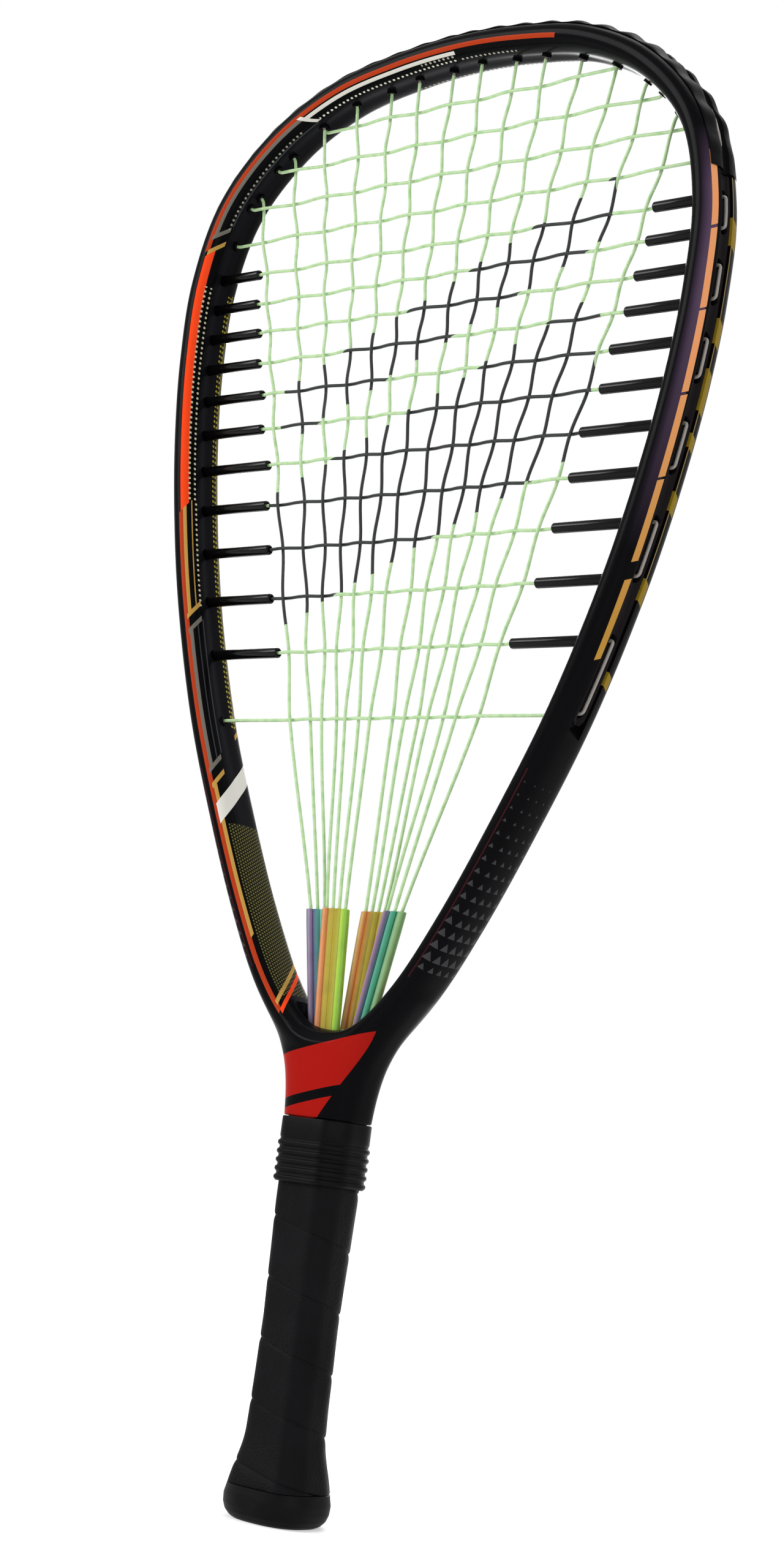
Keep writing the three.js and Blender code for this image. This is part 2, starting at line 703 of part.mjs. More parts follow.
function gripAt(z) {
  const i = Math.max(1, gripRows.findIndex(([height]) => height >= z));
  const [z0, w0] = gripRows[i - 1];
  const [z1, w1] = gripRows[i];
  return w0 + ((w1 - w0) * (z - z0)) / (z1 - z0);
}

// A shallow step that winds down the wrap, as the overlap of one turn on the next
function seamCutter() {
  const corners = 8;
  const count = Math.floor(((seamTop - seamFoot) / seamPitch) * corners);
  const rings = Array.from({ length: count + 1 }, (_, i) => {
    const z = seamTop - (i / corners) * seamPitch;
    const at = (height, outward) => {
      const [x, y] = gripSection(gripAt(height))[(i + 6) % corners];
      const reach = 1 + outward / Math.hypot(x, y);
      return new THREE.Vector3(x * reach, y * reach, height);
    };
    return [at(z, 1), at(z, -seamStep), at(z - seamRamp, seamFeather), at(z - seamRamp, 1)];
  });
  return solid(loft(rings, [[0, 0], [0, -1], [1, -1], [1, 0]]));
}

function wrapBody() {
  const [foot, footWidth] = gripRows[0];
  const outside = stack([
    ...gripRows.map(([z, w]) => [z, gripSection(w)]),
    [gripStep + stepHeight, gripSection(collaredWidth, underTape)],
    [gripTop, gripSection(collaredWidth, underTape)],
  ]);
  const inside = stack([
    [foot - 1, gripSection(footWidth, wrapThickness)],
    ...gripRows.slice(0, -2).map(([z, w]) => [z, gripSection(w, wrapThickness)]),
    [collaredFoot, gripSection(collaredWidth, wrapBoreInset)],
    [gripTop + 1, gripSection(collaredWidth, wrapBoreInset)],
  ]);
  return cutBy(outside, [inside, seamCutter()]);
}

function tapeBody() {
  const [outer, inner] = [0, tapeThickness].map((inset) => gripSection(collaredWidth, inset));
  const foot = gripStep + endGap;
  return stack([[foot, outer], [gripTop, outer]]).subtract(stack([[foot - 1, inner], [gripTop + 1, inner]]));
}

function palletBody() {
  const foot = gripSection(palletFootWidth);
  const skirtTop = capSkirtTop + endGap;
  const top = gripSection(collaredWidth, wrapBoreInset + fitGap);
  const bareRows = gripRows.slice(0, -2).filter(([z]) => z > skirtTop + 1);
  const outside = stack([
    [capFloor + endGap, foot],
    [skirtTop, foot],
    [skirtTop + stepHeight, gripSection(gripAt(skirtTop), coverGap)],
    ...bareRows.map(([z, w]) => [z, gripSection(w, coverGap)]),
    [collaredFoot, top],
    [tenonTop - endGap, top],
  ]);
  const hole = ([w, d]) => cutRectangle(w + fitGap, d + fitGap, tenonCorner);
  const bore = stack([
    [tenonFoot - endGap, hole(tenonEnd)],
    [tenonTaperFoot, hole(tenonEnd)],
    [tenonTop + overlap, hole(tenonShoulder)],
  ]);
  return cutBy(outside, [bore, ...bothSides(staplePocket())]);
}

function capBody() {
  const capOutline = (w) => superOutline(w, w * capDepthShare, capRoundness, capSides);
  const bulge = stack(capRows.map(([z, w]) => [z, capOutline(w)]));
  const skirt = stack([
    [capFloor, gripSection(gripRows[0][1], coverGap)],
    ...gripRows.filter(([z]) => z < capSkirtTop).map(([z, w]) => [z, gripSection(w, coverGap)]),
    [capSkirtTop, gripSection(gripAt(capSkirtTop), coverGap)],
  ]);
  const bore = gripSection(palletFootWidth, -fitGap);
  const inside = stack([[capFloor, bore], [capSkirtTop + 1, bore]]);
  return cutBy(bulge.add(skirt), [inside, ...bothSides(staplePocket())]);
}

// The right staple: its crown lies in the skirt's face and its legs go into the pallet
const crownFace = gripAt(stapleHeight) - coverGap - stapleSunk;

function stapleShape(gap, outer) {
  const z = [stapleHeight - stapleWire / 2 - gap, stapleHeight + stapleWire / 2 + gap];
  const half = stapleSpan / 2 + gap;
  const inner = crownFace - stapleReach - gap;
  const crown = block([crownFace - stapleWire - gap, outer], [-half, half], z);
  const leg = block([inner, crownFace - stapleWire / 2], [half - stapleWire - 2 * gap, half], z);
  return joined([crown, leg, leg.mirror([0, 1, 0])]);
}

function staplePocket() {
  return stapleShape(fitGap, crownFace + beyond);
}

function collarBody() {
  const section = (thickness) => gripSection(collaredWidth, -collarGap - thickness);
  const ribs = Array.from({ length: ribCount }, (_, i) => {
    const z = collarFoot + collarEdge + i * ribPitch;
    const crestEnd = z + ribPitch * ribCrest;
    return [
      [z, section(ribWall)], [crestEnd, section(ribWall)],
      [(crestEnd + z + ribPitch) / 2, section(furrowWall)],
    ];
  });
  const outside = stack([
    [collarFoot, section(furrowWall)],
    ...ribs.flat(),
    [collarFoot + collarEdge + ribCount * ribPitch, section(bandWall)],
    [collarTop - collarEdge, section(bandWall)],
    [collarTop, section(bandWall - collarEdge)],
  ]);
  return outside.subtract(stack([[collarFoot - 1, section(0)], [collarTop + 1, section(0)]]));
}

// Assembly

const finishes = {
  composite: { color: 0x151518, roughness: 0.35, metalness: 0 },
  guardPlastic: { color: 0x101011, roughness: 0.5, metalness: 0 },
  tubePlastic: { color: 0x0b0b0c, roughness: 0.3, metalness: 0 },
  string: { color: 0xe4e2d6, roughness: 0.35, metalness: 0 },
  sleevePurple: { color: 0x7d7a99, roughness: 0.3, metalness: 0 },
  sleeveOrange: { color: 0xc88a45, roughness: 0.3, metalness: 0 },
  sleeveGold: { color: 0xb9963f, roughness: 0.3, metalness: 0 },
  sleeveTeal: { color: 0x4f9a8f, roughness: 0.3, metalness: 0 },
  steel: { color: 0x9c9ea2, roughness: 0.3, metalness: 1 },
  foam: { color: 0x4a4640, roughness: 0.9, metalness: 0 },
  grip: { color: 0x17171a, roughness: 0.75, metalness: 0 },
  tape: { color: 0x1d1d1f, roughness: 0.6, metalness: 0 },
  rubber: { color: 0x121213, roughness: 0.65, metalness: 0 },
  capPlastic: { color: 0x141415, roughness: 0.55, metalness: 0 },
};

function piece(name, body, finish) {
  const mesh = new THREE.Mesh(geometryOf(body), new THREE.MeshStandardMaterial(finishes[finish]));
  mesh.name = name;
  return mesh;
}

function pieceOnBothSides(name, body, finish, suffix = '') {
  const [right, left] = bothSides(body);
  return [piece(`${name}_right${suffix}`, right, finish), piece(`${name}_left${suffix}`, left, finish)];
}

const hoop = new THREE.Group();
hoop.add(
  piece('frame', frameBody(), 'composite'),
  piece('bumper_guard', guardBody(), 'guardPlastic'),
  ...pieceOnBothSides('grommet_strip', stripBody(), 'guardPlastic'),
  ...tubeRows.flatMap((_, i) => (
    pieceOnBothSides('tube', tubeBody(i), 'tubePlastic', `_${String(i + 1).padStart(2, '0')}`)
  )),
);

const pinEnd = new THREE.Vector3(tenonEnd[0] - endGap, 0, pinHeight);
const stringing = new THREE.Group();
stringing.add(
  piece('main_string', stringBody(mainRoute()), 'string'),
  piece('cross_string', stringBody(crossRoute()), 'string'),
  piece('sleeve_outer_left', sleeveBody(0), 'sleevePurple'),
  piece('sleeve_inner_left', sleeveBody(1), 'sleeveOrange'),
  piece('sleeve_inner_right', sleeveBody(2), 'sleeveGold'),
  piece('sleeve_outer_right', sleeveBody(3), 'sleeveTeal'),
  piece('string_pin', prism(mirrored(pinEnd), pinEnd, pinRadius, pinSides), 'steel'),
);

const handle = new THREE.Group();
handle.add(
  piece('handle_pallet', palletBody(), 'foam'),
  piece('grip_wrap', wrapBody(), 'grip'),
  piece('grip_tape', tapeBody(), 'tape'),
  piece('collar', collarBody(), 'rubber'),
  piece('butt_cap', capBody(), 'capPlastic'),
  ...pieceOnBothSides('butt_staple', stapleShape(0, crownFace), 'steel'),
);

const group = new THREE.Group();
group.add(hoop, stringing, handle);

export default group;
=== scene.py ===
"""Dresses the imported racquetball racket: painted frame, guard, tubes, strings, sleeves, collar and grip.

Shapes are worked out in millimetres in the part's own frame and turned to metres as each mesh is made.
X runs across the head, Y through it (front is -Y), Z up the racket from the butt.
"""

import math
from contextlib import contextmanager

import bmesh
import bpy
import numpy as np
from bpy.props import FloatProperty, FloatVectorProperty, IntProperty, PointerProperty
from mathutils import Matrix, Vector


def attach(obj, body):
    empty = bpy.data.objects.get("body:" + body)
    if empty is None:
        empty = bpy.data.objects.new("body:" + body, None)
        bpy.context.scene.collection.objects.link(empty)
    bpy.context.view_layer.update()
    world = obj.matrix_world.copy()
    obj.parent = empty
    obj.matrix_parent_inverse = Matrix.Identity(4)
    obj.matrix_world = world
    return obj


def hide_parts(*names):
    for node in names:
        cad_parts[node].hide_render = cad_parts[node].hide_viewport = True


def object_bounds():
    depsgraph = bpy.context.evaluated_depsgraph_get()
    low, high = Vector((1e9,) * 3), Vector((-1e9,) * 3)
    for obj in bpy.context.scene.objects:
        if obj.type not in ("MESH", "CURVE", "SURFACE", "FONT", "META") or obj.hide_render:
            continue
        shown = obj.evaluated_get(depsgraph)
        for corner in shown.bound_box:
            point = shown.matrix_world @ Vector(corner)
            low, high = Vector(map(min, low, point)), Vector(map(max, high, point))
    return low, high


bl_info = {
    "name": "Racquetball racket",
    "version": (1, 0, 0),
    "blender": (4, 5, 0),
    "location": "View3D > Sidebar > Racket",
    "description": "Builds the finished pieces of a racquetball racket round its packed frame",
    "category": "Object",
}

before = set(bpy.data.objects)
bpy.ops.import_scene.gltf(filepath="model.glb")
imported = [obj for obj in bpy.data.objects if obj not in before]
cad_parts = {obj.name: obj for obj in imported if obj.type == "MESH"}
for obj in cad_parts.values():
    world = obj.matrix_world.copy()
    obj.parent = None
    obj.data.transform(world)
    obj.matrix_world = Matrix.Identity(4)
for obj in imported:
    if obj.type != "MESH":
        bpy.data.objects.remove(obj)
cad_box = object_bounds()

MM = 0.001

# Rim: its middle line on the right half, as (distance from the middle, height)
RIM_LINE = [
    (0, 168.5), (11, 170.2), (20, 175.8), (33.2, 190), (49.5, 216), (68.3, 252.3), (86, 291),
    (102.2, 337.8), (111.8, 375.6), (117.9, 408.6), (121.2, 440), (120.8, 472.4), (111.5, 504.4),
    (89.2, 529.2), (60.2, 544.3), (29.5, 550.3), (0, 552.2),
]
RIM_HALF_WIDTH = 5.3
RIM_HALF_DEPTH = 10.8
RIM_ROUNDNESS = 2.6
RIM_ROWS = 300
RIM_COLUMNS = 45

# Groove round the outside, with the strips and the guard in it
GROOVE_DEPTH = 2.6
GROOVE_HALF_WIDTH = 3.8
GROOVE_START = 147.5
GROOVE_FULL = 151.5
# Shallow valley along the inner face: it deepens over VALLEY_RISE from VALLEY_START on
VALLEY_DEPTH = 0.55
VALLEY_HALF_WIDTH = 4.2
VALLEY_START = 100
VALLEY_RISE = 60
FIT = 0.3
STRIP_THICKNESS = 1.5
# Runs of the rows at a strip's lower end, where its rounding stops, and the rounding's length
STRIP_END_RUNS = [152, 152.4, 153.1, 154.2, 155.6]
STRIP_ROUND_TO = 156.2
STRIP_ROUND_LENGTH = 4.4
CHANNEL_DEPTH = 0.7
GUARD_FOOT = 484
GUARD_STAND = 1.5
# The least that the guard stands proud, the run of one crest, and the run in which its ends rise
GUARD_LEAST_STAND = 0.45
GUARD_CREST = 459.9
GUARD_RISE = 26
BARREL_RADIUS = 1.75
BORE_RADIUS = 1.1
TUBE_BORE_RADIUS = 1.15
BARREL_STAND = 0.8

# Strings
MAIN_AT_TOP = [7.5, 22.9, 38.3, 54.7, 72.3, 90.3, 110]
MAIN_AT_FOOT = [4.8, 11.7, 17, 22.6, 28.6, 35.7, 44.7]
TOP_GAUGE = 545
FOOT_ROW = 290
TOP_ROW = 532.5
UPPER_PITCH = 14.3
UPPER_ROWS = [TOP_ROW - UPPER_PITCH * i for i in range(4)]
TOP_TUBE_ROW = 475.3
TUBE_PITCH = 12.6
# Each gap between tubes is wider than the first by this times the square of its number
TUBE_PITCH_GROWTH = 0.115
TUBE_TIP_GAPS = [3, 5, 5, 6, 5, 6.4, 4, 6, 6, 6.6, 4.4]
WEAVE_GAP = 0.4
TURN_LEAD = 0.8
# How far a string outside the rim starts from the middle of its bore
OUTSIDE_LEAD = 0.45

# Sleeves
SLEEVE_FOOT = 148
SLEEVE_TIP = 218
SLEEVE_FOOT_PITCH = 2.7
SLEEVE_TIP_RADIUS = 1.78
SLEEVE_FOOT_RADIUS = 1.42
SLEEVE_LAYER = 2.15
SLEEVE_BORE_RADIUS = 0.95
SLEEVE_REACH = [11.68, 25.7]
# Left to right, as (node, barrels, layer, pitch at the tip, and innermost barrel at the tip and foot)
BUNDLES = [
    ("sleeve_outer_left", 3, 1, 3.4, 16.9, 4.7), ("sleeve_inner_left", 4, -1, 3.0, 3.1, -1.6),
    ("sleeve_inner_right", 4, 1, 3.0, 3.1, -1.6), ("sleeve_outer_right", 3, -1, 3.4, 16.9, 4.7),
]

# Neck above the shaft, as (height, half width, half depth)
NECK_ROWS = [
    (141.5, 15.6, 12.2), (148, 16.3, 12.2), (154, 17.5, 12.1), (160, 19.3, 12.0),
    (165, 21.8, 11.7), (170, 25, 11.4), (175, 28.5, 11.0), (181, 33, 10.7), (187, 38, 10.6),
]
NECK_ROUNDNESS = 3
# Height below which the rim is near the neck, and run below which its points settle onto their blend
JOINT_TOP = 235
BLEND_RUN = 96
# Window in the rim that the neck grows from: its half length, and its edge's distance round the tube
WINDOW_REACH = 46
WINDOW_EDGE = 12.6
# Distance round the tube where the inner paint gives way to the outer
PAINT_EDGE = 14.2
LAND = (14, 11.6)
TENON_TOP = 125
TENON_TAPER_FOOT = 96
TENON_FOOT = 34
TENON_SHOULDER = (10.6, 8.4)
TENON_END = (9.6, 7.6)
TENON_ROUNDNESS = 6
TENON_WALL = 1.4
STRING_WAY_TOP = 197

# Pin that the mains turn round
PIN_HEIGHT = 105
PIN_RADIUS = 2.6
PIN_CLEARANCE = 0.6
# The mains that turn round the pin beside each other, in pairs from left to right
PIN_SLOTS = [[0], [1, 3], [2, 4], [5, 7], [6, 8], [9, 11], [10, 12], [13]]
PIN_SLOT_PITCH = 2.05

# Grip, as (height, half width) of the wrap's outside
GRIP_ROWS = [
    (12, 17.4), (17, 16.3), (22, 15), (26, 14.1), (30, 13.6), (40, 13.3), (70, 12.9), (100, 13.6),
    (112, 13.9), (118.6, 13.9),
]
GRIP_TOP = 124
GRIP_CORNER = 2.6
GRIP_COLUMNS = 96
DEPTH_SHARE = 0.84
SIDE_FLAT = 0.44
FACE_FLAT = 0.695
WRAP_THICKNESS = 1.1
TAPE_THICKNESS = 0.45
COLLAR_FOOT = 118
COLLAR_TOP = 141.2
COLLAR_GAP = 0.35
CAP_ROWS = [(0, 14.5), (0.8, 16.2), (2.6, 17.9), (5, 18.8), (8, 19), (11.7, 18.2)]
CAP_DEPTH_SHARE = 0.86
CAP_RIM = 11.8
CAP_RIM_HALF_WIDTH = 18
CAP_TOP = 26
CAP_BORE_FLOOR = 4
CAP_BORE_HALF_WIDTH = 11.5

# Photograph's camera: its height and focal length in pixels, its place in metres and its axes
PHOTO_HEIGHT = 2560
PHOTO_FOCAL_LENGTH = 4050.21
CAMERA_PLACE = (0.58735, -0.68631, 0.12860)
CAMERA_RIGHT = (0.77095, 0.62353, 0.12978)
CAMERA_DOWN = (0.00429, 0.19868, -0.98005)
CAMERA_AHEAD = (-0.63688, 0.75613, 0.15050)
SENSOR = 36
# Soft lights, as (name, place, size, watts), aimed at the middle of the racket
LIGHTS = [
    ("key_softbox", (-1.1, -1.5, 1.3), 0.9, 27), ("fill_softbox", (1.6, -0.9, 0.7), 1.0, 9),
    ("top_softbox", (0.1, 0.4, 1.9), 1.1, 14), ("rim_softbox", (-0.9, 1.3, 0.8), 0.7, 8),
]
LIGHTS_AIM = (0, 0, 0.3)
WHITE = (1, 1, 1, 1)
# Half the floor's width, so that its edge lies beyond the view
FLOOR_REACH = 60000


def linear(code):
    """An sRGB hex colour as linear RGBA."""
    parts = [int(code[i:i + 2], 16) / 255 for i in (1, 3, 5)]
    return tuple(c / 12.92 if c <= 0.04045 else ((c + 0.055) / 1.055) ** 2.4 for c in parts) + (1.0,)


def colour(name, description, code):
    return FloatVectorProperty(
        name=name, description=description, subtype="COLOR", size=4, min=0, max=1, default=linear(code))


def length(name, description, millimetres):
    return FloatProperty(
        name=name, description=description, unit="LENGTH", min=0, default=millimetres * MM)


class RacketSizes(bpy.types.PropertyGroup):
    """Sizes that a user would change."""
    string_diameter: length("String", "Diameter of both strings", 1.3)
    tube_radius: length("Tube radius", "Outer radius of the tubes that lead the crosses", 2.0)
    scallop_pitch: length("Scallop pitch", "Distance between two crests of the guard", 12.5)
    scallop_depth: length("Scallop depth", "Depth of the hollows between the guard's crests", 1.05)
    seam_pitch: length("Seam pitch", "Rise of the grip's wrap in one turn", 21.5)
    seam_step: length("Seam step", "How far one turn of the wrap stands over the next", 0.5)
    rib_pitch: length("Rib pitch", "Distance between the collar's ribs", 3.1)
    rib_count: IntProperty(name="Ribs", description="Number of ribs on the collar", min=1, default=5)


class RacketColours(bpy.types.PropertyGroup):
    """Colours that a user would change."""
    composite: colour("Composite", "Clear-coated frame", "#08080A")
    orange: colour("Orange", "Panel inside the head", "#F0461C")
    stripe: colour("Stripe", "Thin stripe inside the head", "#A8381A")
    gold: colour("Gold", "Lines and boxes inside the head", "#B89048")
    silver: colour("Silver", "Pale lines inside the head", "#D8D4CC")
    label: colour("Label", "Bare band low on the inside", "#DAD6D0")
    # Purple of the outer face: partly its paint, partly a painted sheen
    purple: colour("Purple", "Metallic shade outside the head", "#54425A")
    red: colour("Red", "Bands on the throat", "#9E1610")
    strings: colour("Strings", "Both strings", "#BCD8A8")
    ink: colour("Ink", "Two plain bars on the strings", "#0A1410")
    guard: colour("Guard", "Bumper guard", "#0A090A")
    # Paler than the guard: painted light on the strips' faces
    strip: colour("Strip", "Grommet strips", "#171315")
    grip: colour("Grip", "Wrap of the handle", "#0A090B")
    rubber: colour("Rubber", "Collar", "#080809")


def sizes():
    return bpy.context.scene.racket_sizes


def colours():
    return bpy.context.scene.racket_colours


# Rim line


def rim_samples(count=2400):
    """Centripetal Catmull-Rom curve through the rim's points, sampled round the whole loop."""
    half = [np.array(p, float) for p in RIM_LINE]
    points = half + [np.array((-p[0], p[1])) for p in half[-2:0:-1]]
    total = len(points)
    line = []
    for t in np.linspace(0, total, count, endpoint=False):
        i = int(t)
        w = t - i
        p0, p1, p2, p3 = [points[(i + k) % total] for k in (-1, 0, 1, 2)]
        d = [np.sum((b - a) ** 2) ** 0.25 for a, b in ((p0, p1), (p1, p2), (p2, p3))]
        t1 = ((p1 - p0) / d[0] - (p2 - p0) / (d[0] + d[1]) + (p2 - p1) / d[1]) * d[1]
        t2 = ((p2 - p1) / d[1] - (p3 - p1) / (d[1] + d[2]) + (p3 - p2) / d[2]) * d[1]
        line.append(p1 + t1 * w + (-3 * p1 + 3 * p2 - 2 * t1 - t2) * w ** 2
                    + (2 * p1 - 2 * p2 + t1 + t2) * w ** 3)
    line.append(line[0])
    line = np.array(line)
    steps = np.linalg.norm(np.diff(line, axis=0), axis=1)
    run = np.concatenate([[0], np.cumsum(steps)])
    tangent = np.roll(line[:-1], -1, axis=0) - np.roll(line[:-1], 1, axis=0)
    tangent = np.vstack([tangent, tangent[:1]])
    tangent /= np.linalg.norm(tangent, axis=1)[:, None]
    return run, line, np.stack([tangent[:, 1], -tangent[:, 0]], axis=1)


RUN, LINE, OUTWARD = rim_samples()
LOOP = RUN[-1]
HALF = LOOP / 2
# Length that a painted lane's ramp spans, and where those marks end that run on to the top
LANE_SPAN = HALF * 1.1
LANE_TOP = HALF * 1.09


def rim_point(run, n, y=0.0):
    """Points n outward from the rim's middle line and y behind it, at runs measured from the crotch."""
    run, n, y = np.broadcast_arrays(np.asarray(run, float), n, y)
    at = np.mod(run, LOOP)
    x, z = [np.interp(at, RUN, LINE[:, k]) for k in (0, 1)]
    nx, nz = [np.interp(at, RUN, OUTWARD[:, k]) for k in (0, 1)]
    size = np.hypot(nx, nz)
    return np.stack([x + nx / size * n, y, z + nz / size * n], axis=-1)


def run_where(n, level):
    """Highest run on the right side where the line n outward from the middle line has level() at zero."""
    runs = np.linspace(0, HALF, 1600)
    value = level(rim_point(runs, n))
    i = np.nonzero(np.diff(np.signbit(value)))[0][-1]
    return runs[i] + (runs[i + 1] - runs[i]) * value[i] / (value[i] - value[i + 1])


def run_at_height(n, z):
    return run_where(n, lambda p: p[:, 2] - z)


def other_side(run, side):
    return run if side > 0 else LOOP - run


# Meshes


def sweep_faces(rows, columns, around_rows=False):
    """Quads of a grid of rings, each with the grid places of its four corners before they wrap."""
    faces, places = [], []
    for i in range(rows if around_rows else rows - 1):
        for j in range(columns):
            corners = [(i, j), (i, j + 1), (i + 1, j + 1), (i + 1, j)]
            faces.append([(a % rows) * columns + b % columns for a, b in corners])
            places.append(corners)
    return faces, places


def mesh_object(name, points, faces, coordinates=None):
    """An object from points in millimetres. coordinates gives a UV map as (u, v) for each face corner."""
    mesh = bpy.data.meshes.new(name)
    mesh.from_pydata((np.asarray(points) * MM).tolist(), [], faces)
    for key, values in (coordinates or {}).items():
        layer = mesh.uv_layers.new(name=key)
        layer.data.foreach_set("uv", np.asarray(values, np.float32).ravel())
    made = bpy.data.objects.new(name, mesh)
    bpy.context.scene.collection.objects.link(made)
    return made


def swept_object(name, rings, around_rows=False, coordinates=None):
    """A body through rings of points. coordinates gives a UV map as (places of the rings, places round
    each ring)."""
    rings = np.asarray(rings, float)
    rows, columns = rings.shape[:2]
    faces, places = sweep_faces(rows, columns, around_rows)
    if not around_rows:
        ends = [(0, j) for j in range(columns)], [(rows - 1, j) for j in reversed(range(columns))]
        places += ends
        faces += [[i * columns + j for i, j in end] for end in ends]
    maps = {}
    for key, (along, across) in (coordinates or {}).items():
        maps[key] = [(along[a], across[b]) for corners in places for a, b in corners]
    return mesh_object(name, rings.reshape(-1, 3), faces, maps)


def stacked(name, levels, around_rows=False):
    """A body through level outlines, as (height, outline)."""
    rings = [np.column_stack([outline, np.full(len(outline), z)]) for z, outline in levels]
    return swept_object(name, rings, around_rows)


@contextmanager
def edited(piece):
    """Opens a piece's mesh for editing, and writes it back."""
    work = bmesh.new()
    work.from_mesh(piece.data)
    yield work
    work.to_mesh(piece.data)
    work.free()


def outward_faces(piece):
    """Turns every face of a closed body outward."""
    with edited(piece) as work:
        bmesh.ops.recalc_face_normals(work, faces=work.faces)


def combined(piece, other, operation, crossing=False):
    """Joins another body to a piece or cuts it away, and removes that body. crossing is for bodies whose
    own parts cross."""
    outward_faces(piece)
    outward_faces(other)
    modifier = piece.modifiers.new("combined", "BOOLEAN")
    modifier.operation = operation
    modifier.solver = "EXACT"
    modifier.use_self = crossing
    modifier.object = other
    depsgraph = bpy.context.evaluated_depsgraph_get()
    fresh = bpy.data.meshes.new_from_object(
        piece.evaluated_get(depsgraph), preserve_all_data_layers=True, depsgraph=depsgraph)
    old = piece.data
    fresh.name = old.name
    piece.modifiers.clear()
    piece.data = fresh
    bpy.data.meshes.remove(old)
    bpy.data.objects.remove(other)


def joined(name, pieces):
    """One object from several."""
    points, faces, start = [], [], 0
    for one in pieces:
        points += [v.co / MM for v in one.data.vertices]
        faces += [[start + i for i in f.vertices] for f in one.data.polygons]
        start += len(one.data.vertices)
        bpy.data.objects.remove(one)
    return mesh_object(name, [tuple(p) for p in points], faces)


def smooth(piece, degrees):
    """Shades a piece smooth, but for the edges that turn more than an angle."""
    outward_faces(piece)
    piece.data.polygons.foreach_set("use_smooth", [True] * len(piece.data.polygons))
    piece.data.set_sharp_from_angle(angle=math.radians(degrees))


def dressed(piece, body, node):
    """Puts a finished piece on its body in place of a CAD node, no larger than the racket's own size."""
    count = len(piece.data.vertices)
    points = np.zeros(count * 3, np.float32)
    piece.data.vertices.foreach_get("co", points)
    points = np.clip(points.reshape(count, 3), *np.array(cad_box, np.float32))
    piece.data.vertices.foreach_set("co", points.ravel())
    piece.data.update()
    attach(piece, body)
    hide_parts(node)


def circle(radius, sides):
    angles = np.arange(sides) / sides * 2 * math.pi
    return np.stack([np.cos(angles), np.sin(angles)], axis=1) * radius


def square_to(along):
    """Two directions square to a direction in the plane of the head."""
    across = np.cross(along, (0, 1, 0))
    across /= np.linalg.norm(across)
    return across, np.cross(along, across)


def rod(start, end, radius, sides=20):
    """A round rod between two points."""
    start, end = np.asarray(start, float), np.asarray(end, float)
    across, up = square_to((end - start) / np.linalg.norm(end - start))
    ring = circle(radius, sides)
    rings = [place + ring[:, :1] * across + ring[:, 1:] * up for place in (start, end)]
    return swept_object("rod", rings)


def turned(name, start, along, profile, sides=28):
    """A body of revolution from a closed profile of (distance along the axis, radius)."""
    start, along = np.asarray(start, float), np.asarray(along, float)
    across, up = square_to(along)
    rings = []
    for angle in np.arange(sides) / sides * 2 * math.pi:
        way = across * math.cos(angle) + up * math.sin(angle)
        rings.append([start + along * a + way * r for a, r in profile])
    return swept_object(name, rings, True)


def superellipse(width, depth, roundness, angles):
    c, s = np.cos(angles), np.sin(angles)
    return np.stack([
        width * np.sign(c) * np.abs(c) ** (2 / roundness),
        depth * np.sign(s) * np.abs(s) ** (2 / roundness)], axis=-1)


def even(line, count, closed=True):
    """The same outline with its points an equal distance apart."""
    line = np.asarray(line, float)
    if closed:
        line = np.vstack([line, line[:1]])
    run = np.concatenate([[0], np.cumsum(np.linalg.norm(np.diff(line, axis=0), axis=1))])
    at = np.linspace(0, run[-1], count, endpoint=not closed)
    return np.stack([np.interp(at, run, line[:, k]) for k in range(line.shape[1])], axis=1)


def corner_points(before, at, after, most):
    """Points of a rounded corner, which starts at most a distance before the corner itself."""
    into, out = at - before, after - at
    before_length, after_length = np.linalg.norm(into), np.linalg.norm(out)
    cut = min(most, before_length * 0.45, after_length * 0.45)
    a, b = at - into / before_length * cut, at + out / after_length * cut
    return [a * (1 - t) ** 2 + at * 2 * t * (1 - t) + b * t * t for t in np.linspace(0, 1, 6)]


def running_mean(values, width, **padding):
    """Mean of each value with its neighbours, width values in all."""
    padded = np.pad(values, width // 2, **padding)
    return np.convolve(padded, np.ones(width) / width, mode="valid")


# Distances outward from the rim's middle line
ARC_EDGE = math.asin((GROOVE_HALF_WIDTH / RIM_HALF_DEPTH) ** (RIM_ROUNDNESS / 2))
FLAT_FACE = RIM_HALF_WIDTH * math.cos(ARC_EDGE) ** (2 / RIM_ROUNDNESS)
GROOVE_FLOOR = FLAT_FACE - GROOVE_DEPTH
STRIP_INNER = GROOVE_FLOOR + FIT
STRIP_OUTER = STRIP_INNER + STRIP_THICKNESS
CHANNEL_FLOOR = STRIP_OUTER - CHANNEL_DEPTH
BARREL_MOUTH = -RIM_HALF_WIDTH - BARREL_STAND
TURN_LINE = BARREL_MOUTH - TURN_LEAD


def string_radius():
    return sizes().string_diameter / MM / 2


def string_line():
    return CHANNEL_FLOOR + FIT + string_radius()


def rim_face(y):
    """How far out the rim's outer face is at a depth."""
    share = np.clip(np.abs(y) / RIM_HALF_DEPTH, 0, 1)
    return RIM_HALF_WIDTH * (1 - share ** RIM_ROUNDNESS) ** (1 / RIM_ROUNDNESS)


# Rows of crosses, and mains numbered from the left
TUBE_ROWS = [TOP_TUBE_ROW]
for step in range(len(TUBE_TIP_GAPS) - 1):
    TUBE_ROWS.append(TUBE_ROWS[-1] - TUBE_PITCH - TUBE_PITCH_GROWTH * step ** 2)
ROWS = UPPER_ROWS + TUBE_ROWS + [FOOT_ROW]
MAINS = range(2 * len(MAIN_AT_TOP))


def side_of(k):
    return -1 if k < len(MAIN_AT_TOP) else 1


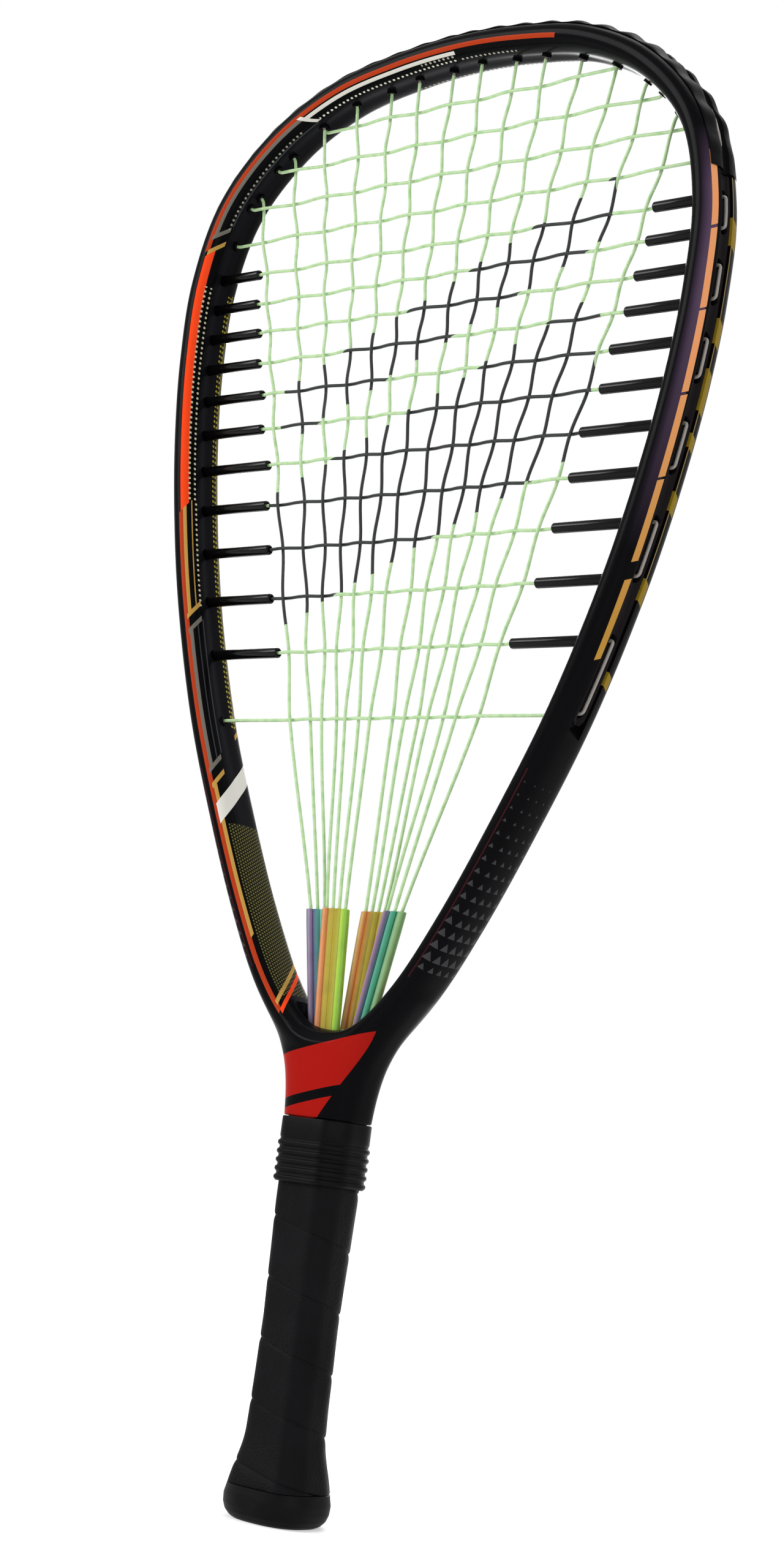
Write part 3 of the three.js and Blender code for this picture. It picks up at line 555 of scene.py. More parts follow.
def main_at(k, z):
    i = len(MAIN_AT_TOP) - 1 - k if side_of(k) < 0 else k - len(MAIN_AT_TOP)
    share = (z - FOOT_ROW) / (TOP_GAUGE - FOOT_ROW)
    return side_of(k) * (MAIN_AT_FOOT[i] + (MAIN_AT_TOP[i] - MAIN_AT_FOOT[i]) * share)


def main_side(row, k):
    weave = string_radius() + WEAVE_GAP / 2
    return weave if (row + k) % 2 == 0 else -weave


def main_way(k):
    """Where a main turns into the rim: its run, depth, highest cross and turning point."""
    right = run_where(TURN_LINE, lambda p: p[:, 0] - np.array([abs(main_at(k, z)) for z in p[:, 2]]))
    run = other_side(right, side_of(k))
    turn_z = rim_point(run, TURN_LINE)[2]
    top_row = next(i for i, z in enumerate(ROWS) if z < turn_z - 0.6)
    y = main_side(top_row, k)
    return {"run": run, "y": y, "top_row": top_row, "turn": rim_point(run, TURN_LINE, y)}


def mains_crossed(row, ways):
    return [k for k in MAINS if row >= ways[k]["top_row"]]


def cross_way(row, side, ways):
    z = ROWS[row]
    if row < len(UPPER_ROWS):
        crossed = mains_crossed(row, ways)
        y = -main_side(row, crossed[-1] if side > 0 else crossed[0])
        run = other_side(run_at_height(TURN_LINE, z), side)
        return {"run": run, "y": y, "turn": rim_point(run, TURN_LINE, y)}
    run = other_side(run_at_height(string_line(), z), side)
    tube = row - len(UPPER_ROWS)
    if tube < len(TUBE_ROWS):
        inner = abs(main_at(0, z)) + TUBE_TIP_GAPS[tube] - FIT
    else:
        inner = rim_point(run_at_height(TURN_LINE, z), TURN_LINE)[0]
    return {"run": run, "y": 0.0, "turn": np.array((side * inner, 0.0, z))}


def guard_ways():
    ways = [main_way(k) for k in MAINS]
    crosses = [cross_way(row, side, ways) for row in range(len(UPPER_ROWS)) for side in (-1, 1)]
    return ways + crosses


def square_way(way, n_out, n_in):
    return rim_point(way["run"], n_out, way["y"]), rim_point(way["run"], n_in, way["y"])


def level_way(z, n_out, n_in, side):
    ends = [rim_point(run_at_height(n, z), n) for n in (n_out, n_in)]
    return [end * (side, 1, 1) for end in ends]


# Shader nodes


def add(tree, kind, *values, **settings):
    """Adds a node, sets its properties, and fills its inputs in order with sockets or plain values. It
    gives the node's first output, if it has one."""
    made = tree.nodes.new("ShaderNode" + kind)
    for key, value in settings.items():
        setattr(made, key, value)
    for place, value in enumerate(values):
        if isinstance(value, bpy.types.NodeSocket):
            tree.links.new(value, made.inputs[place])
        elif value is not None:
            made.inputs[place].default_value = value
    return made.outputs[0] if made.outputs else None


def finish(name, base, roughness, metallic=0.0, coat=0.0, specular=0.5):
    """A material with its shader, and the place in the object, in metres, that its patterns follow."""
    made = bpy.data.materials.new(name)
    made.use_nodes = True
    tree = made.node_tree
    shader = tree.nodes["Principled BSDF"]
    shader.inputs["Base Color"].default_value = base
    shader.inputs["Roughness"].default_value = roughness
    shader.inputs["Metallic"].default_value = metallic
    if metallic == 0:
        shader.inputs["Specular IOR Level"].default_value = specular
    shader.inputs["Coat Weight"].default_value = coat
    shader.inputs["Coat Roughness"].default_value = 0.05
    made.diffuse_color = base
    return made, tree, shader, add(tree, "TexCoord").node.outputs["Object"]


def soft_noise(tree, where, size, detail=2.0, roughness=0.5):
    """Noise whose blotches are size millimetres across."""
    return add(tree, "TexNoise", where, None, 1 / (size * MM), detail, roughness)


def pebbles(tree, where, size):
    """Rounded cells that are size millimetres across."""
    return add(tree, "TexVoronoi", where, None, 1 / (size * MM))


def bumped(tree, shader, height, distance):
    """Links a height, in millimetres of relief, to the shader's normal."""
    bump = add(tree, "Bump").node
    bump.inputs["Distance"].default_value = distance * MM
    tree.links.new(height, bump.inputs["Height"])
    tree.links.new(bump.outputs["Normal"], shader.inputs["Normal"])


def mottled(tree, shader, where, size, depth):
    """Uneven tone over a surface, in soft blotches, round the shader's own colour."""
    noise = soft_noise(tree, where, size, 3.0, 0.55)
    share = add(tree, "MapRange", noise, 0.3, 0.7, 1 - depth, 1 + depth)
    tone = shader.inputs["Base Color"].default_value[:3]
    scaled = add(tree, "VectorMath", tone, None, None, share, operation="SCALE")
    tree.links.new(scaled, shader.inputs["Base Color"])
    return noise


def worn_gloss(tree, shader, where, size, low, high, start=0.3):
    """Uneven roughness over a surface, from low to high in soft blotches."""
    noise = soft_noise(tree, where, size, 3.0, 0.6)
    share = add(tree, "MapRange", noise, start, 0.7, low, high)
    tree.links.new(share, shader.inputs["Roughness"])


def between(tree, value, low, high):
    """1 where a value lies between two others."""
    over = add(tree, "Math", value, low, operation="GREATER_THAN")
    under = add(tree, "Math", value, high, operation="LESS_THAN")
    return add(tree, "Math", over, under, operation="MULTIPLY")


def painted(tree, under, over, mask):
    """One paint over another where the mask is 1."""
    made = tree.nodes.new("ShaderNodeMix")
    made.data_type = "RGBA"
    for place, value in ((0, mask), (6, under), (7, over)):
        if isinstance(value, bpy.types.NodeSocket):
            tree.links.new(value, made.inputs[place])
        else:
            made.inputs[place].default_value = value
    return made.outputs[2]


def lane(tree, under, along, across, low, high, marks):
    """A painted lane between two distances across, with marks of (start, end, colour) along it."""
    share = add(tree, "Math", along, LANE_SPAN, operation="DIVIDE")
    ramp = add(tree, "ValToRGB", share).node
    ramp.color_ramp.interpolation = "CONSTANT"
    elements = ramp.color_ramp.elements
    elements.remove(elements[1])
    elements[0].position = 0
    elements[0].color = (0, 0, 0, 0)
    for start, end, tone in marks:
        elements.new(start / LANE_SPAN).color = tuple(tone)
        elements.new(end / LANE_SPAN).color = (0, 0, 0, 0)
    inside = between(tree, across, low, high)
    mask = add(tree, "Math", inside, ramp.outputs["Alpha"], operation="MULTIPLY")
    return painted(tree, under, ramp.outputs["Color"], mask)


def in_cell(tree, value, pitch, shift=0.0):
    """How far a value is past the middle of its cell, in a row of cells moved by a share of the pitch."""
    cells = add(tree, "Math", value, pitch, operation="DIVIDE")
    cells = add(tree, "Math", cells, shift, operation="ADD")
    part = add(tree, "Math", cells, operation="FRACT")
    return add(tree, "Math", part, pitch, -pitch / 2, operation="MULTIPLY_ADD")


def dots(tree, along, across, pitch, middle, radius):
    """1 on a row of round dots along a line."""
    part = in_cell(tree, along, pitch)
    side = add(tree, "Math", across, middle, operation="SUBTRACT")
    part = add(tree, "Math", part, 2.0, operation="POWER")
    side = add(tree, "Math", side, 2.0, operation="POWER")
    square = add(tree, "Math", part, side, operation="ADD")
    return add(tree, "Math", square, radius ** 2, operation="LESS_THAN")


def map_coordinates(tree, key):
    """The two places of a UV map, in millimetres along and across."""
    return add(tree, "SeparateXYZ", add(tree, "UVMap", uv_map=key)).node.outputs[:2]


# Frame


def frame_section():
    """Outline of the rim from the groove's front edge round the inside to its rear edge, evenly spaced,
    with each point's distance round the tube from the inner middle, positive in front."""
    angles = np.linspace(ARC_EDGE, 2 * math.pi - ARC_EDGE, 4000)
    outline = superellipse(RIM_HALF_WIDTH, -RIM_HALF_DEPTH, RIM_ROUNDNESS, angles)
    outline = even(outline, RIM_COLUMNS, closed=False)
    steps = np.linalg.norm(np.diff(outline, axis=0), axis=1)
    p = steps.sum() / 2 - np.concatenate([[0], np.cumsum(steps)])
    return outline, p


def ring_distance(points):
    """Distance of points from the rim's surface, and outward from its middle line."""
    flat = points[:, [0, 2]]
    low = np.nonzero(LINE[:-1, 1] < JOINT_TOP)[0][::2]
    nearest = low[np.argmin(((flat ** 2).sum(axis=1)[:, None] - 2 * flat @ LINE[low].T
                             + (LINE[low] ** 2).sum(axis=1)[None]), axis=1)]
    n = ((flat - LINE[nearest]) * OUTWARD[nearest]).sum(axis=1)
    a, b = np.abs(n) / RIM_HALF_WIDTH, np.abs(points[:, 1]) / RIM_HALF_DEPTH
    level = (a ** RIM_ROUNDNESS + b ** RIM_ROUNDNESS) ** (1 / RIM_ROUNDNESS) + 1e-9
    slope = np.hypot(
        (a / level) ** (RIM_ROUNDNESS - 1) / RIM_HALF_WIDTH,
        (b / level) ** (RIM_ROUNDNESS - 1) / RIM_HALF_DEPTH)
    return (level - 1) / slope, n


def neck_distance(points):
    """Distance of points from the neck's surface."""
    rows = np.array(NECK_ROWS)
    fine = np.linspace(rows[0, 0], rows[-1, 0], 400)
    width, depth = [
        running_mean(np.interp(fine, rows[:, 0], rows[:, k]), 61, mode="reflect", reflect_type="odd")
        for k in (1, 2)]
    w, d = [np.interp(points[:, 2], fine, v) for v in (width, depth)]
    lean = np.interp(points[:, 2], fine, np.gradient(width, fine))
    a, b = np.abs(points[:, 0]) / w, np.abs(points[:, 1]) / d
    level = (a ** NECK_ROUNDNESS + b ** NECK_ROUNDNESS) ** (1 / NECK_ROUNDNESS) + 1e-9
    gx = (a / level) ** (NECK_ROUNDNESS - 1) / w
    gy = (b / level) ** (NECK_ROUNDNESS - 1) / d
    return (level - 1) / np.sqrt(gx ** 2 * (1 + lean ** 2) + gy ** 2)


def joint_distance(points, blend=2.5):
    """Distance from the smooth union of rim and neck."""
    ring, n = ring_distance(points)
    neck = np.maximum(neck_distance(points), -n)
    h = np.clip(0.5 + 0.5 * (neck - ring) / blend, 0, 1)
    return neck * (1 - h) + ring * h - blend * h * (1 - h)


def settled(points, rounds=5):
    """Moves points onto the smooth union of rim and neck."""
    step = 0.05
    for _ in range(rounds):
        value = joint_distance(points)
        slope = np.stack([
            (joint_distance(points + np.eye(3)[k] * step) - value) / step for k in range(3)], axis=1)
        points = points - slope * (value / np.maximum((slope ** 2).sum(axis=1), 0.2))[:, None]
    return points


def frame_shell():
    """The rim, swept round its line, with the neck and the tenon grown from a window low in its outer
    half. Its UV map holds the run from the crotch and the distance round the tube, which is positive in
    front on the left half and behind on the right, so that the paint turns half round at the top."""
    outline, p = frame_section()
    floor_y = np.array([3.74, 1.3, -1.3, -3.74])
    columns = RIM_COLUMNS + len(floor_y)
    p_edge = -p[-1]
    floor_p = -(p_edge + GROOVE_HALF_WIDTH - floor_y)
    p_all = np.concatenate([p, floor_p, [floor_p[-1] - (p_edge - p[0]) - 0.06]])
    valley = np.clip(1 - np.abs(p) / VALLEY_HALF_WIDTH, 0, 1)
    valley = VALLEY_DEPTH * (valley * valley * (3 - 2 * valley))
    runs = np.arange(RIM_ROWS) / RIM_ROWS * LOOP
    folded = np.minimum(runs, LOOP - runs)
    points = np.zeros((RIM_ROWS, columns, 3))
    for i, run in enumerate(runs):
        ease = np.clip((folded[i] - GROOVE_START) / (GROOVE_FULL - GROOVE_START), 0, 1)
        depth = GROOVE_DEPTH * math.sin(ease * math.pi / 2)
        hollow = valley * np.clip((folded[i] - VALLEY_START) / VALLEY_RISE, 0, 1)
        n = np.concatenate([outline[:, 0] + hollow, rim_face(floor_y) * (depth == 0)
                            + (FLAT_FACE - depth) * (depth > 0)])
        y = np.concatenate([outline[:, 1], floor_y])
        points[i] = rim_point(run, n, y)
    faces, places = sweep_faces(RIM_ROWS, columns, True)

    # The rows and columns on the window's edge, in order
    reach = int(round(WINDOW_REACH / LOOP * RIM_ROWS))
    edge = int(np.argmin(np.abs(p - WINDOW_EDGE)))
    far = RIM_COLUMNS - 1 - edge
    outer = list(range(far, columns)) + list(range(0, edge + 1))
    right, left = reach, RIM_ROWS - reach
    across = [i % RIM_ROWS for i in range(left, left + 2 * reach + 1)]
    loop = [(right, j) for j in outer]
    loop += [(i, edge) for i in reversed(across[:-1])]
    loop += [(left, j) for j in reversed(outer[:-1])]
    loop += [(i, far) for i in across[1:-1]]
    window = set()
    for corners in places:
        i, j = corners[0]
        centred = (i + reach) % RIM_ROWS
        if centred < 2 * reach and (j >= far or j < edge):
            window.add((i, j))
    kept = [k for k, corners in enumerate(places) if corners[0] not in window]
    low = folded < BLEND_RUN
    points[low] = settled(points[low].reshape(-1, 3)).reshape(points[low].shape)

    # Rows from the window down to the neck's foot, spread evenly over the blend
    top = np.array([points[i, j] for i, j in loop])
    count = len(loop)
    angles = np.linspace(0, 2 * math.pi, 4001)[:-1]
    foot_z, foot_width, foot_depth = NECK_ROWS[0]
    foot = matched(top, superellipse(foot_width, foot_depth, NECK_ROUNDNESS, -angles))
    steps = 30
    rows = np.array([
        top * (1 - t) + np.column_stack([foot, np.full(count, foot_z)]) * t
        for t in (k / steps for k in range(1, steps + 1))])
    for _ in range(12):
        rows[:-1] = settled(rows[:-1].reshape(-1, 3), 2).reshape(rows[:-1].shape)
        whole = np.concatenate([top[None], rows])
        mean = (whole[:-2] + whole[2:]) / 2
        side = (np.roll(rows[:-1], 1, axis=1) + np.roll(rows[:-1], -1, axis=1)) / 2
        rows[:-1] = rows[:-1] * 0.4 + mean * 0.35 + side * 0.25
    rows[:-1] = settled(rows[:-1].reshape(-1, 3), 4).reshape(rows[:-1].shape)

    land = matched(top, superellipse(*LAND, 2.8, -angles))
    shoulder = matched(top, superellipse(*TENON_SHOULDER, TENON_ROUNDNESS, -angles))
    end = matched(top, superellipse(*TENON_END, TENON_ROUNDNESS, -angles))
    lower = [(foot_z, foot - np.sign(foot) * 0.25), (foot_z, land), (TENON_TOP + 0.6, land),
             (TENON_TOP, land * 0.97), (TENON_TOP, shoulder), (TENON_TAPER_FOOT, end), (TENON_FOOT, end)]
    rows[-1, :, 2] += 0.3
    rows = np.concatenate([rows, [np.column_stack([o, np.full(count, z)]) for z, o in lower]])

    flat_points = points.reshape(-1, 3)
    start = len(flat_points)
    index = [[i * columns + j for i, j in loop]]
    index += [[start + r * count + c for c in range(count)] for r in range(len(rows))]
    body = [faces[k] for k in kept]
    neck = [
        [index[r][c], index[r][(c + 1) % count], index[r + 1][(c + 1) % count], index[r + 1][c]]
        for r in range(len(rows)) for c in range(count)]
    neck.append(list(reversed(index[-1])))

    rim_uv = []
    for k in kept:
        middle = (places[k][0][0] + 0.5) / RIM_ROWS * LOOP
        sign = -1 if middle < HALF else 1
        for a, b in places[k]:
            run = a / RIM_ROWS * LOOP
            rim_uv.append((run if middle < HALF else LOOP - run, sign * p_all[b]))
    blank = sum(len(f) for f in neck)
    shell = mesh_object(
        "painted_frame", np.concatenate([flat_points, rows.reshape(-1, 3)]), body + neck,
        {"rim": rim_uv + [(0, 0)] * blank})
    p_mid = [(p_all[places[k][0][1]] + p_all[places[k][0][1] + 1]) / 2 for k in kept]
    slots = [0 if abs(v) < PAINT_EDGE else 1 for v in p_mid] + [2] * len(neck)
    shell.data.polygons.foreach_set("material_index", slots)
    with edited(shell) as work:
        bmesh.ops.delete(work, geom=[v for v in work.verts if not v.link_faces], context="VERTS")
    return shell


def matched(loop, outline):
    """Points of an outline that face a loop's points, quarter by quarter, by their distance round."""
    def quarters(line):
        closed = np.vstack([line, line[:1]])
        run = np.concatenate([[0], np.cumsum(np.linalg.norm(np.diff(closed[:, :2], axis=0), axis=1))])
        return run / run[-1]
    outline = np.asarray(outline)
    start = np.argmax(loop[:, 0] - np.abs(loop[:, 1]) * 10)
    rolled = np.roll(loop, -start, axis=0)
    if rolled[3, 1] > 0:
        outline = outline * (1, -1)
    share = quarters(rolled)[:-1]
    # The loop's quarter points go to the outline's
    axis = [0] + [int(np.argmin(np.abs(rolled[:, k]) + (np.sign(rolled[:, 1 - k]) != s) * 1e3))
                  for k, s in ((0, np.sign(outline[len(outline) // 4, 1])), (1, -1),
                               (0, -np.sign(outline[len(outline) // 4, 1])))] + [len(rolled)]
    marks = np.append(share, 1.0)[axis]
    even_share = np.interp(share, marks, [0, 0.25, 0.5, 0.75, 1])
    own = quarters(outline)
    closed = np.vstack([outline, outline[:1]])
    found = np.stack([np.interp(even_share, own, closed[:, k]) for k in (0, 1)], axis=1)
    return np.roll(found, start, axis=0)


def sleeve_reach(z):
    """Half the width of all the sleeves at a height."""
    return np.interp(z, (SLEEVE_FOOT, SLEEVE_TIP), SLEEVE_REACH)


def string_way():
    """The slot that the sleeves come out of, and the hollow of the tenon below it."""
    angles = (np.arange(48) + 0.5) / 48 * 2 * math.pi
    deep = SLEEVE_LAYER + SLEEVE_TIP_RADIUS + 0.4
    levels = [
        (z, superellipse(width - TENON_WALL, depth - TENON_WALL, TENON_ROUNDNESS, angles))
        for z, (width, depth) in (
            (TENON_FOOT - 2, TENON_END), (TENON_TAPER_FOOT, TENON_END), (TENON_TOP, TENON_SHOULDER))]
    levels += [
        (z, superellipse(sleeve_reach(z) + 1.5, deep, 10, angles))
        for z in (SLEEVE_FOOT - 7, SLEEVE_FOOT, STRING_WAY_TOP)]
    return stacked("string_way", levels)


class RACKET_OT_frame(bpy.types.Operator):
    """Build the painted frame with its groove, string way and holes"""
    bl_idname = "racket.frame"
    bl_label = "Frame"

    def execute(self, context):
        shell = frame_shell()
        outside, inside = RIM_HALF_WIDTH + 2, BARREL_MOUTH - 2
        tube = sizes().tube_radius / MM
        holes = [rod(*level_way(z, outside, inside, side), tube + 0.2)
                 for z in TUBE_ROWS for side in (-1, 1)]
        holes += [rod(*level_way(FOOT_ROW, outside, inside, side), BARREL_RADIUS + 0.2)
                  for side in (-1, 1)]
        holes += [rod(*square_way(way, outside, inside), BARREL_RADIUS + 0.2) for way in guard_ways()]
        holes.append(rod((-14, 0, PIN_HEIGHT), (14, 0, PIN_HEIGHT), PIN_RADIUS + FIT))
        combined(shell, joined("holes", holes), "DIFFERENCE", True)
        combined(shell, string_way(), "DIFFERENCE", True)
        self.mend(shell)
        for made in (inner_paint(), outer_paint(), neck_paint()):
            shell.data.materials.append(made)
        smooth(shell, 32)
        dressed(shell, "racket", "frame")
        return {"FINISHED"}

    def mend(self, shell):
        """Takes out the slivers that the cuts leave where a hole only grazes an edge, and closes them."""
        with edited(shell) as work:
            bmesh.ops.dissolve_degenerate(work, edges=work.edges, dist=0.002 * MM)
            bmesh.ops.holes_fill(work, edges=[e for e in work.edges if e.is_boundary])


def lacquered(name):
    """Composite under a thin clear coat, which shows lamps in it but is nearly black elsewhere."""
    return finish(name, colours().composite, 0.26, coat=0.012, specular=0.018)


def coated(tree, shader, where, paint):
    """Clear coat over paint: a faint orange peel, 3 mm from crest to crest, and slightly uneven gloss."""
    bumped(tree, shader, soft_noise(tree, where, 3), 0.02)
    worn_gloss(tree, shader, where, 18, 0.2, 0.32)
    tree.links.new(paint, shader.inputs["Base Color"])


def inner_paint():
    """Paint inside the head: gloss black with an orange stripe, outlined boxes, dots and a pale band."""
    c = colours()
    made, tree, shader, where = lacquered("clear_coated_composite_inside")
    run, q = map_coordinates(tree, "rim")
    # The design's ends are slanted: lean runs along the rim in their frame
    lean = add(tree, "Math", run, add(tree, "Math", q, 8.0, operation="SUBTRACT"), operation="ADD")
    top = LANE_TOP
    grey = linear("#6E6A62")
    dim = linear("#3A3A3E")
    # A paler, bluer channel down the middle of the inner face: painted sheen along its shallow valley
    base = painted(tree, tuple(c.composite), linear("#101014"), between(tree, q, -3.4, 4.7))
    low_dots = between(tree, run, 30, 106)
    ground = add(tree, "Math", low_dots, between(tree, q, -7.8, 8.6), operation="MULTIPLY")
    base = painted(tree, base, linear("#121209"), ground)
    # Low on the inside the ground is covered with dots in staggered rows
    across_pitch, along_pitch = 2.4, 1.38
    rows = []
    for shift in (0.0, 0.5):
        side = in_cell(tree, q, across_pitch, shift)
        moved = add(tree, "Math", run, shift * along_pitch, operation="ADD")
        rows.append(dots(tree, moved, side, along_pitch, 0.0, 0.42))
    comb = add(tree, "Math", *rows, operation="MAXIMUM")
    comb = add(tree, "Math", comb, ground, operation="MULTIPLY")
    base = painted(tree, base, linear("#66623A"), comb)
    base = lane(tree, base, lean, q, 10.9, 12.8, [(27, 244.5, c.stripe), (358, top, c.stripe)])
    base = lane(tree, base, run, q, -12.8, -11, [(452.8, top, c.stripe)])
    base = lane(tree, base, lean, q, 8.6, 12.1, [(245.6, 354.6, c.orange)])
    base = lane(tree, base, lean, q, 5.4, 11.6, [
        (125, 126.6, c.gold), (131.4, 133, grey), (191.4, 192.8, grey), (196.7, 198.8, c.gold),
        (244.9, 245.6, c.gold), (356, 358.2, c.gold), (362.4, 363.9, grey), (425.2, 427.2, c.silver)])
    base = lane(tree, base, lean, q, 9.7, 11.1, [
        (60, 125, c.gold), (132, 192, grey), (197, 245.2, c.gold), (363, 424, grey)])
    base = lane(tree, base, lean, q, 8.8, 10.3, [(426, top, c.silver)])
    base = lane(tree, base, lean, q, 7.2, 7.7, [(197, 245.2, c.gold), (132, 192, dim)])
    base = lane(tree, base, lean, q, 4.6, 5.2, [(132, 192, dim), (363, 424, dim)])
    base = lane(tree, base, lean, q, -8.4, 11.6, [
        (25.8, 27.1, c.orange), (29.5, 31.6, c.gold), (109, 116.8, c.label)])
    base = lane(tree, base, lean, q, -8.2, 1.9, [(356.7, 357.8, c.gold)])
    base = lane(tree, base, lean, q, -8.2, -5, [(131.5, 133, c.gold), (139, 140.4, grey)])
    base = lane(tree, base, run, q, -7.6, -7.0, [(150, 340, linear("#8A7C28"))])
    for middle, start, end, tone in (
            (8.3, 246, 340, "#C8C0A0"), (5.9, 246, 340, "#C8C0A0"), (5.4, 201, 246, "#C8C0A0"),
            (6.0, 366, 420, "#8E8C80"), (6.0, 430, 502, "#D8D4C8"), (8.0, 485, 502, "#B0ACA0"),
            (-4.6, 150, 340, "#A89A30"), (-6.2, 150, 340, "#A89A30"), (-6.0, 474, 502, "#B0ACA0")):
        spot = dots(tree, run, q, 2.2, middle, 0.52)
        spot = add(tree, "Math", spot, between(tree, run, start, end), operation="MULTIPLY")
        base = painted(tree, base, linear(tone), spot)
    coated(tree, shader, where, base)
    return made


def outer_paint():
    """Paint outside the head: metallic purple with a painted sheen on it, peach to gold bars and rows of grey
    triangles.
    """
    c = colours()
    made, tree, shader, where = lacquered("clear_coated_composite_outside")
    run, q = map_coordinates(tree, "rim")
    far = add(tree, "Math", q, operation="ABSOLUTE")
    front = add(tree, "Math", q, 0.0, operation="LESS_THAN")
    # The purple is partly a painted sheen: it fades in from the front edge, brightest by the bars, and out
    # towards the throat and the guard
    shade = add(tree, "MapRange", run, 215.0, 305.0, 0.0, 1.0)
    for fade in (
            add(tree, "MapRange", far, 14.4, 18.2, 0.0, 1.0),
            add(tree, "MapRange", run, 344.0, 368.0, 1.0, 0.0),
            add(tree, "Math", far, 21.6, operation="LESS_THAN"), front):
        shade = add(tree, "Math", shade, fade, operation="MULTIPLY")
    base = painted(tree, tuple(c.composite), tuple(c.purple), shade)
    # Bars in front, in peach that turns to gold lower down
    low_to_high = add(tree, "MapRange", run, 190.0, 290.0, 0.0, 1.0)
    tone = painted(tree, linear("#B88A3C"), linear("#E89C68"), low_to_high)
    lean = add(tree, "Math", far, -0.5, 9.5, operation="MULTIPLY_ADD")
    lean = add(tree, "Math", run, lean, operation="ADD")
    drift = add(tree, "MapRange", run, 170.0, 360.0, 2.2, 0.0)
    place = add(tree, "Math", far, drift, operation="SUBTRACT")
    bars = between(tree, lean, 330.2, 358.3)
    for low, high in (
            (300.5, 329), (270.6, 299.6), (240.3, 269.5), (210, 239.3), (174.2, 203.5)):
        bars = add(tree, "Math", bars, between(tree, lean, low, high), operation="MAXIMUM")
    bars = add(tree, "Math", bars, between(tree, place, 18.5, 21.4), operation="MULTIPLY")
    base = painted(tree, base, tone, add(tree, "Math", bars, front, operation="MULTIPLY"))
    # A thin line and seven patches behind
    stretch = between(tree, run, 200, 352)
    rear = add(tree, "Math", between(tree, q, 22.5, 23.1), stretch, operation="MULTIPLY")
    base = painted(tree, base, linear("#8A7448"), rear)
    for low, high in (
            (325, 335), (290, 299), (266, 281), (253, 258), (230, 237), (197.5, 205.5), (166, 171)):
        patch = between(tree, q, 19.5, 23.6)
        patch = add(tree, "Math", between(tree, lean, low, high), patch, operation="MULTIPLY")
        base = painted(tree, base, linear("#8C7420"), patch)
    # Triangles that shrink up the rim, in cells of 4.3 by 5 mm
    grow = add(tree, "MapRange", run, 50.0, 132.0, 1.9, 0.25)
    cell_a = add(tree, "Math", far, -16.35 + 2.15, operation="ADD")
    cell_a = add(tree, "Math", in_cell(tree, cell_a, 4.3), operation="ABSOLUTE")
    cell_r = in_cell(tree, run, 5.0)
    slope = add(tree, "Math", cell_a, 1.8, operation="MULTIPLY")
    reach = add(tree, "Math", cell_r, slope, operation="ADD")
    under = add(tree, "Math", reach, grow, operation="LESS_THAN")
    floor_line = add(tree, "Math", grow, -0.9, operation="MULTIPLY")
    spot = add(tree, "Math", cell_r, floor_line, operation="GREATER_THAN")
    for mask in (under, between(tree, run, 52, 132), between(tree, far, PAINT_EDGE, 40)):
        spot = add(tree, "Math", spot, mask, operation="MULTIPLY")
    base = painted(tree, base, linear("#3A3A3C"), spot)
    # A dark red line between them and the inner paint
    edge_line = add(tree, "MapRange", run, 40.0, 132.0, 14.3, 15.0)
    line_low = add(tree, "Math", far, edge_line, operation="SUBTRACT")
    line = add(tree, "Math", between(tree, line_low, -0.25, 0.25), between(tree, run, 40, 132),
               operation="MULTIPLY")
    base = painted(tree, base, linear("#3A1518"), line)
    coated(tree, shader, where, base)
    return made


def neck_paint():
    """Paint on the throat: gloss black with plain red bands that rise to the right, in front only."""
    c = colours()
    made, tree, shader, where = lacquered("clear_coated_composite_throat")
    x, y, z = add(tree, "SeparateXYZ", where).node.outputs
    lean = add(tree, "Math", x, -0.27, z, operation="MULTIPLY_ADD")
    bands = add(tree, "Math", between(tree, lean, 0.1405, 0.1472), between(tree, lean, 0.1508, 0.1676),
                operation="MAXIMUM")
    end = add(tree, "Math", z, -0.6, x, operation="MULTIPLY_ADD")
    for value, limit in ((y, 0.0), (end, -0.08)):
        inside = add(tree, "Math", value, limit, operation="LESS_THAN")
        bands = add(tree, "Math", bands, inside, operation="MULTIPLY")
    coated(tree, shader, where, painted(tree, tuple(c.composite), tuple(c.red), bands))
    return made


# Guard and strips


def moulded(name, tone, roughness, relief=0.008, specular=0.03):
    """Moulded plastic: even, with the faint grain of the mould in its gloss."""
    made, tree, shader, where = finish(name, tone, roughness, specular=specular)
    mottled(tree, shader, where, 9, 0.15)
    bumped(tree, shader, soft_noise(tree, where, 0.5), relief)
    worn_gloss(tree, shader, where, 6, roughness - 0.06, roughness + 0.08)
    return made


def guard_stand(run, foot):
    """How far the guard stands proud of the rim along it: it rises from its ends, with scallops."""
    fold = np.minimum(run, LOOP - run)
    pitch, depth = sizes().scallop_pitch / MM, sizes().scallop_depth / MM
    rise = np.clip((fold - foot) / GUARD_RISE, 0, 1)
    rise = rise * rise * (3 - 2 * rise)
    wave = 0.5 - 0.5 * np.cos((fold - GUARD_CREST) / pitch * 2 * math.pi)
    crest = GUARD_STAND * (0.4 + 0.6 * rise)
    return np.maximum(crest - depth * wave * (0.3 + 0.7 * rise), GUARD_LEAST_STAND)


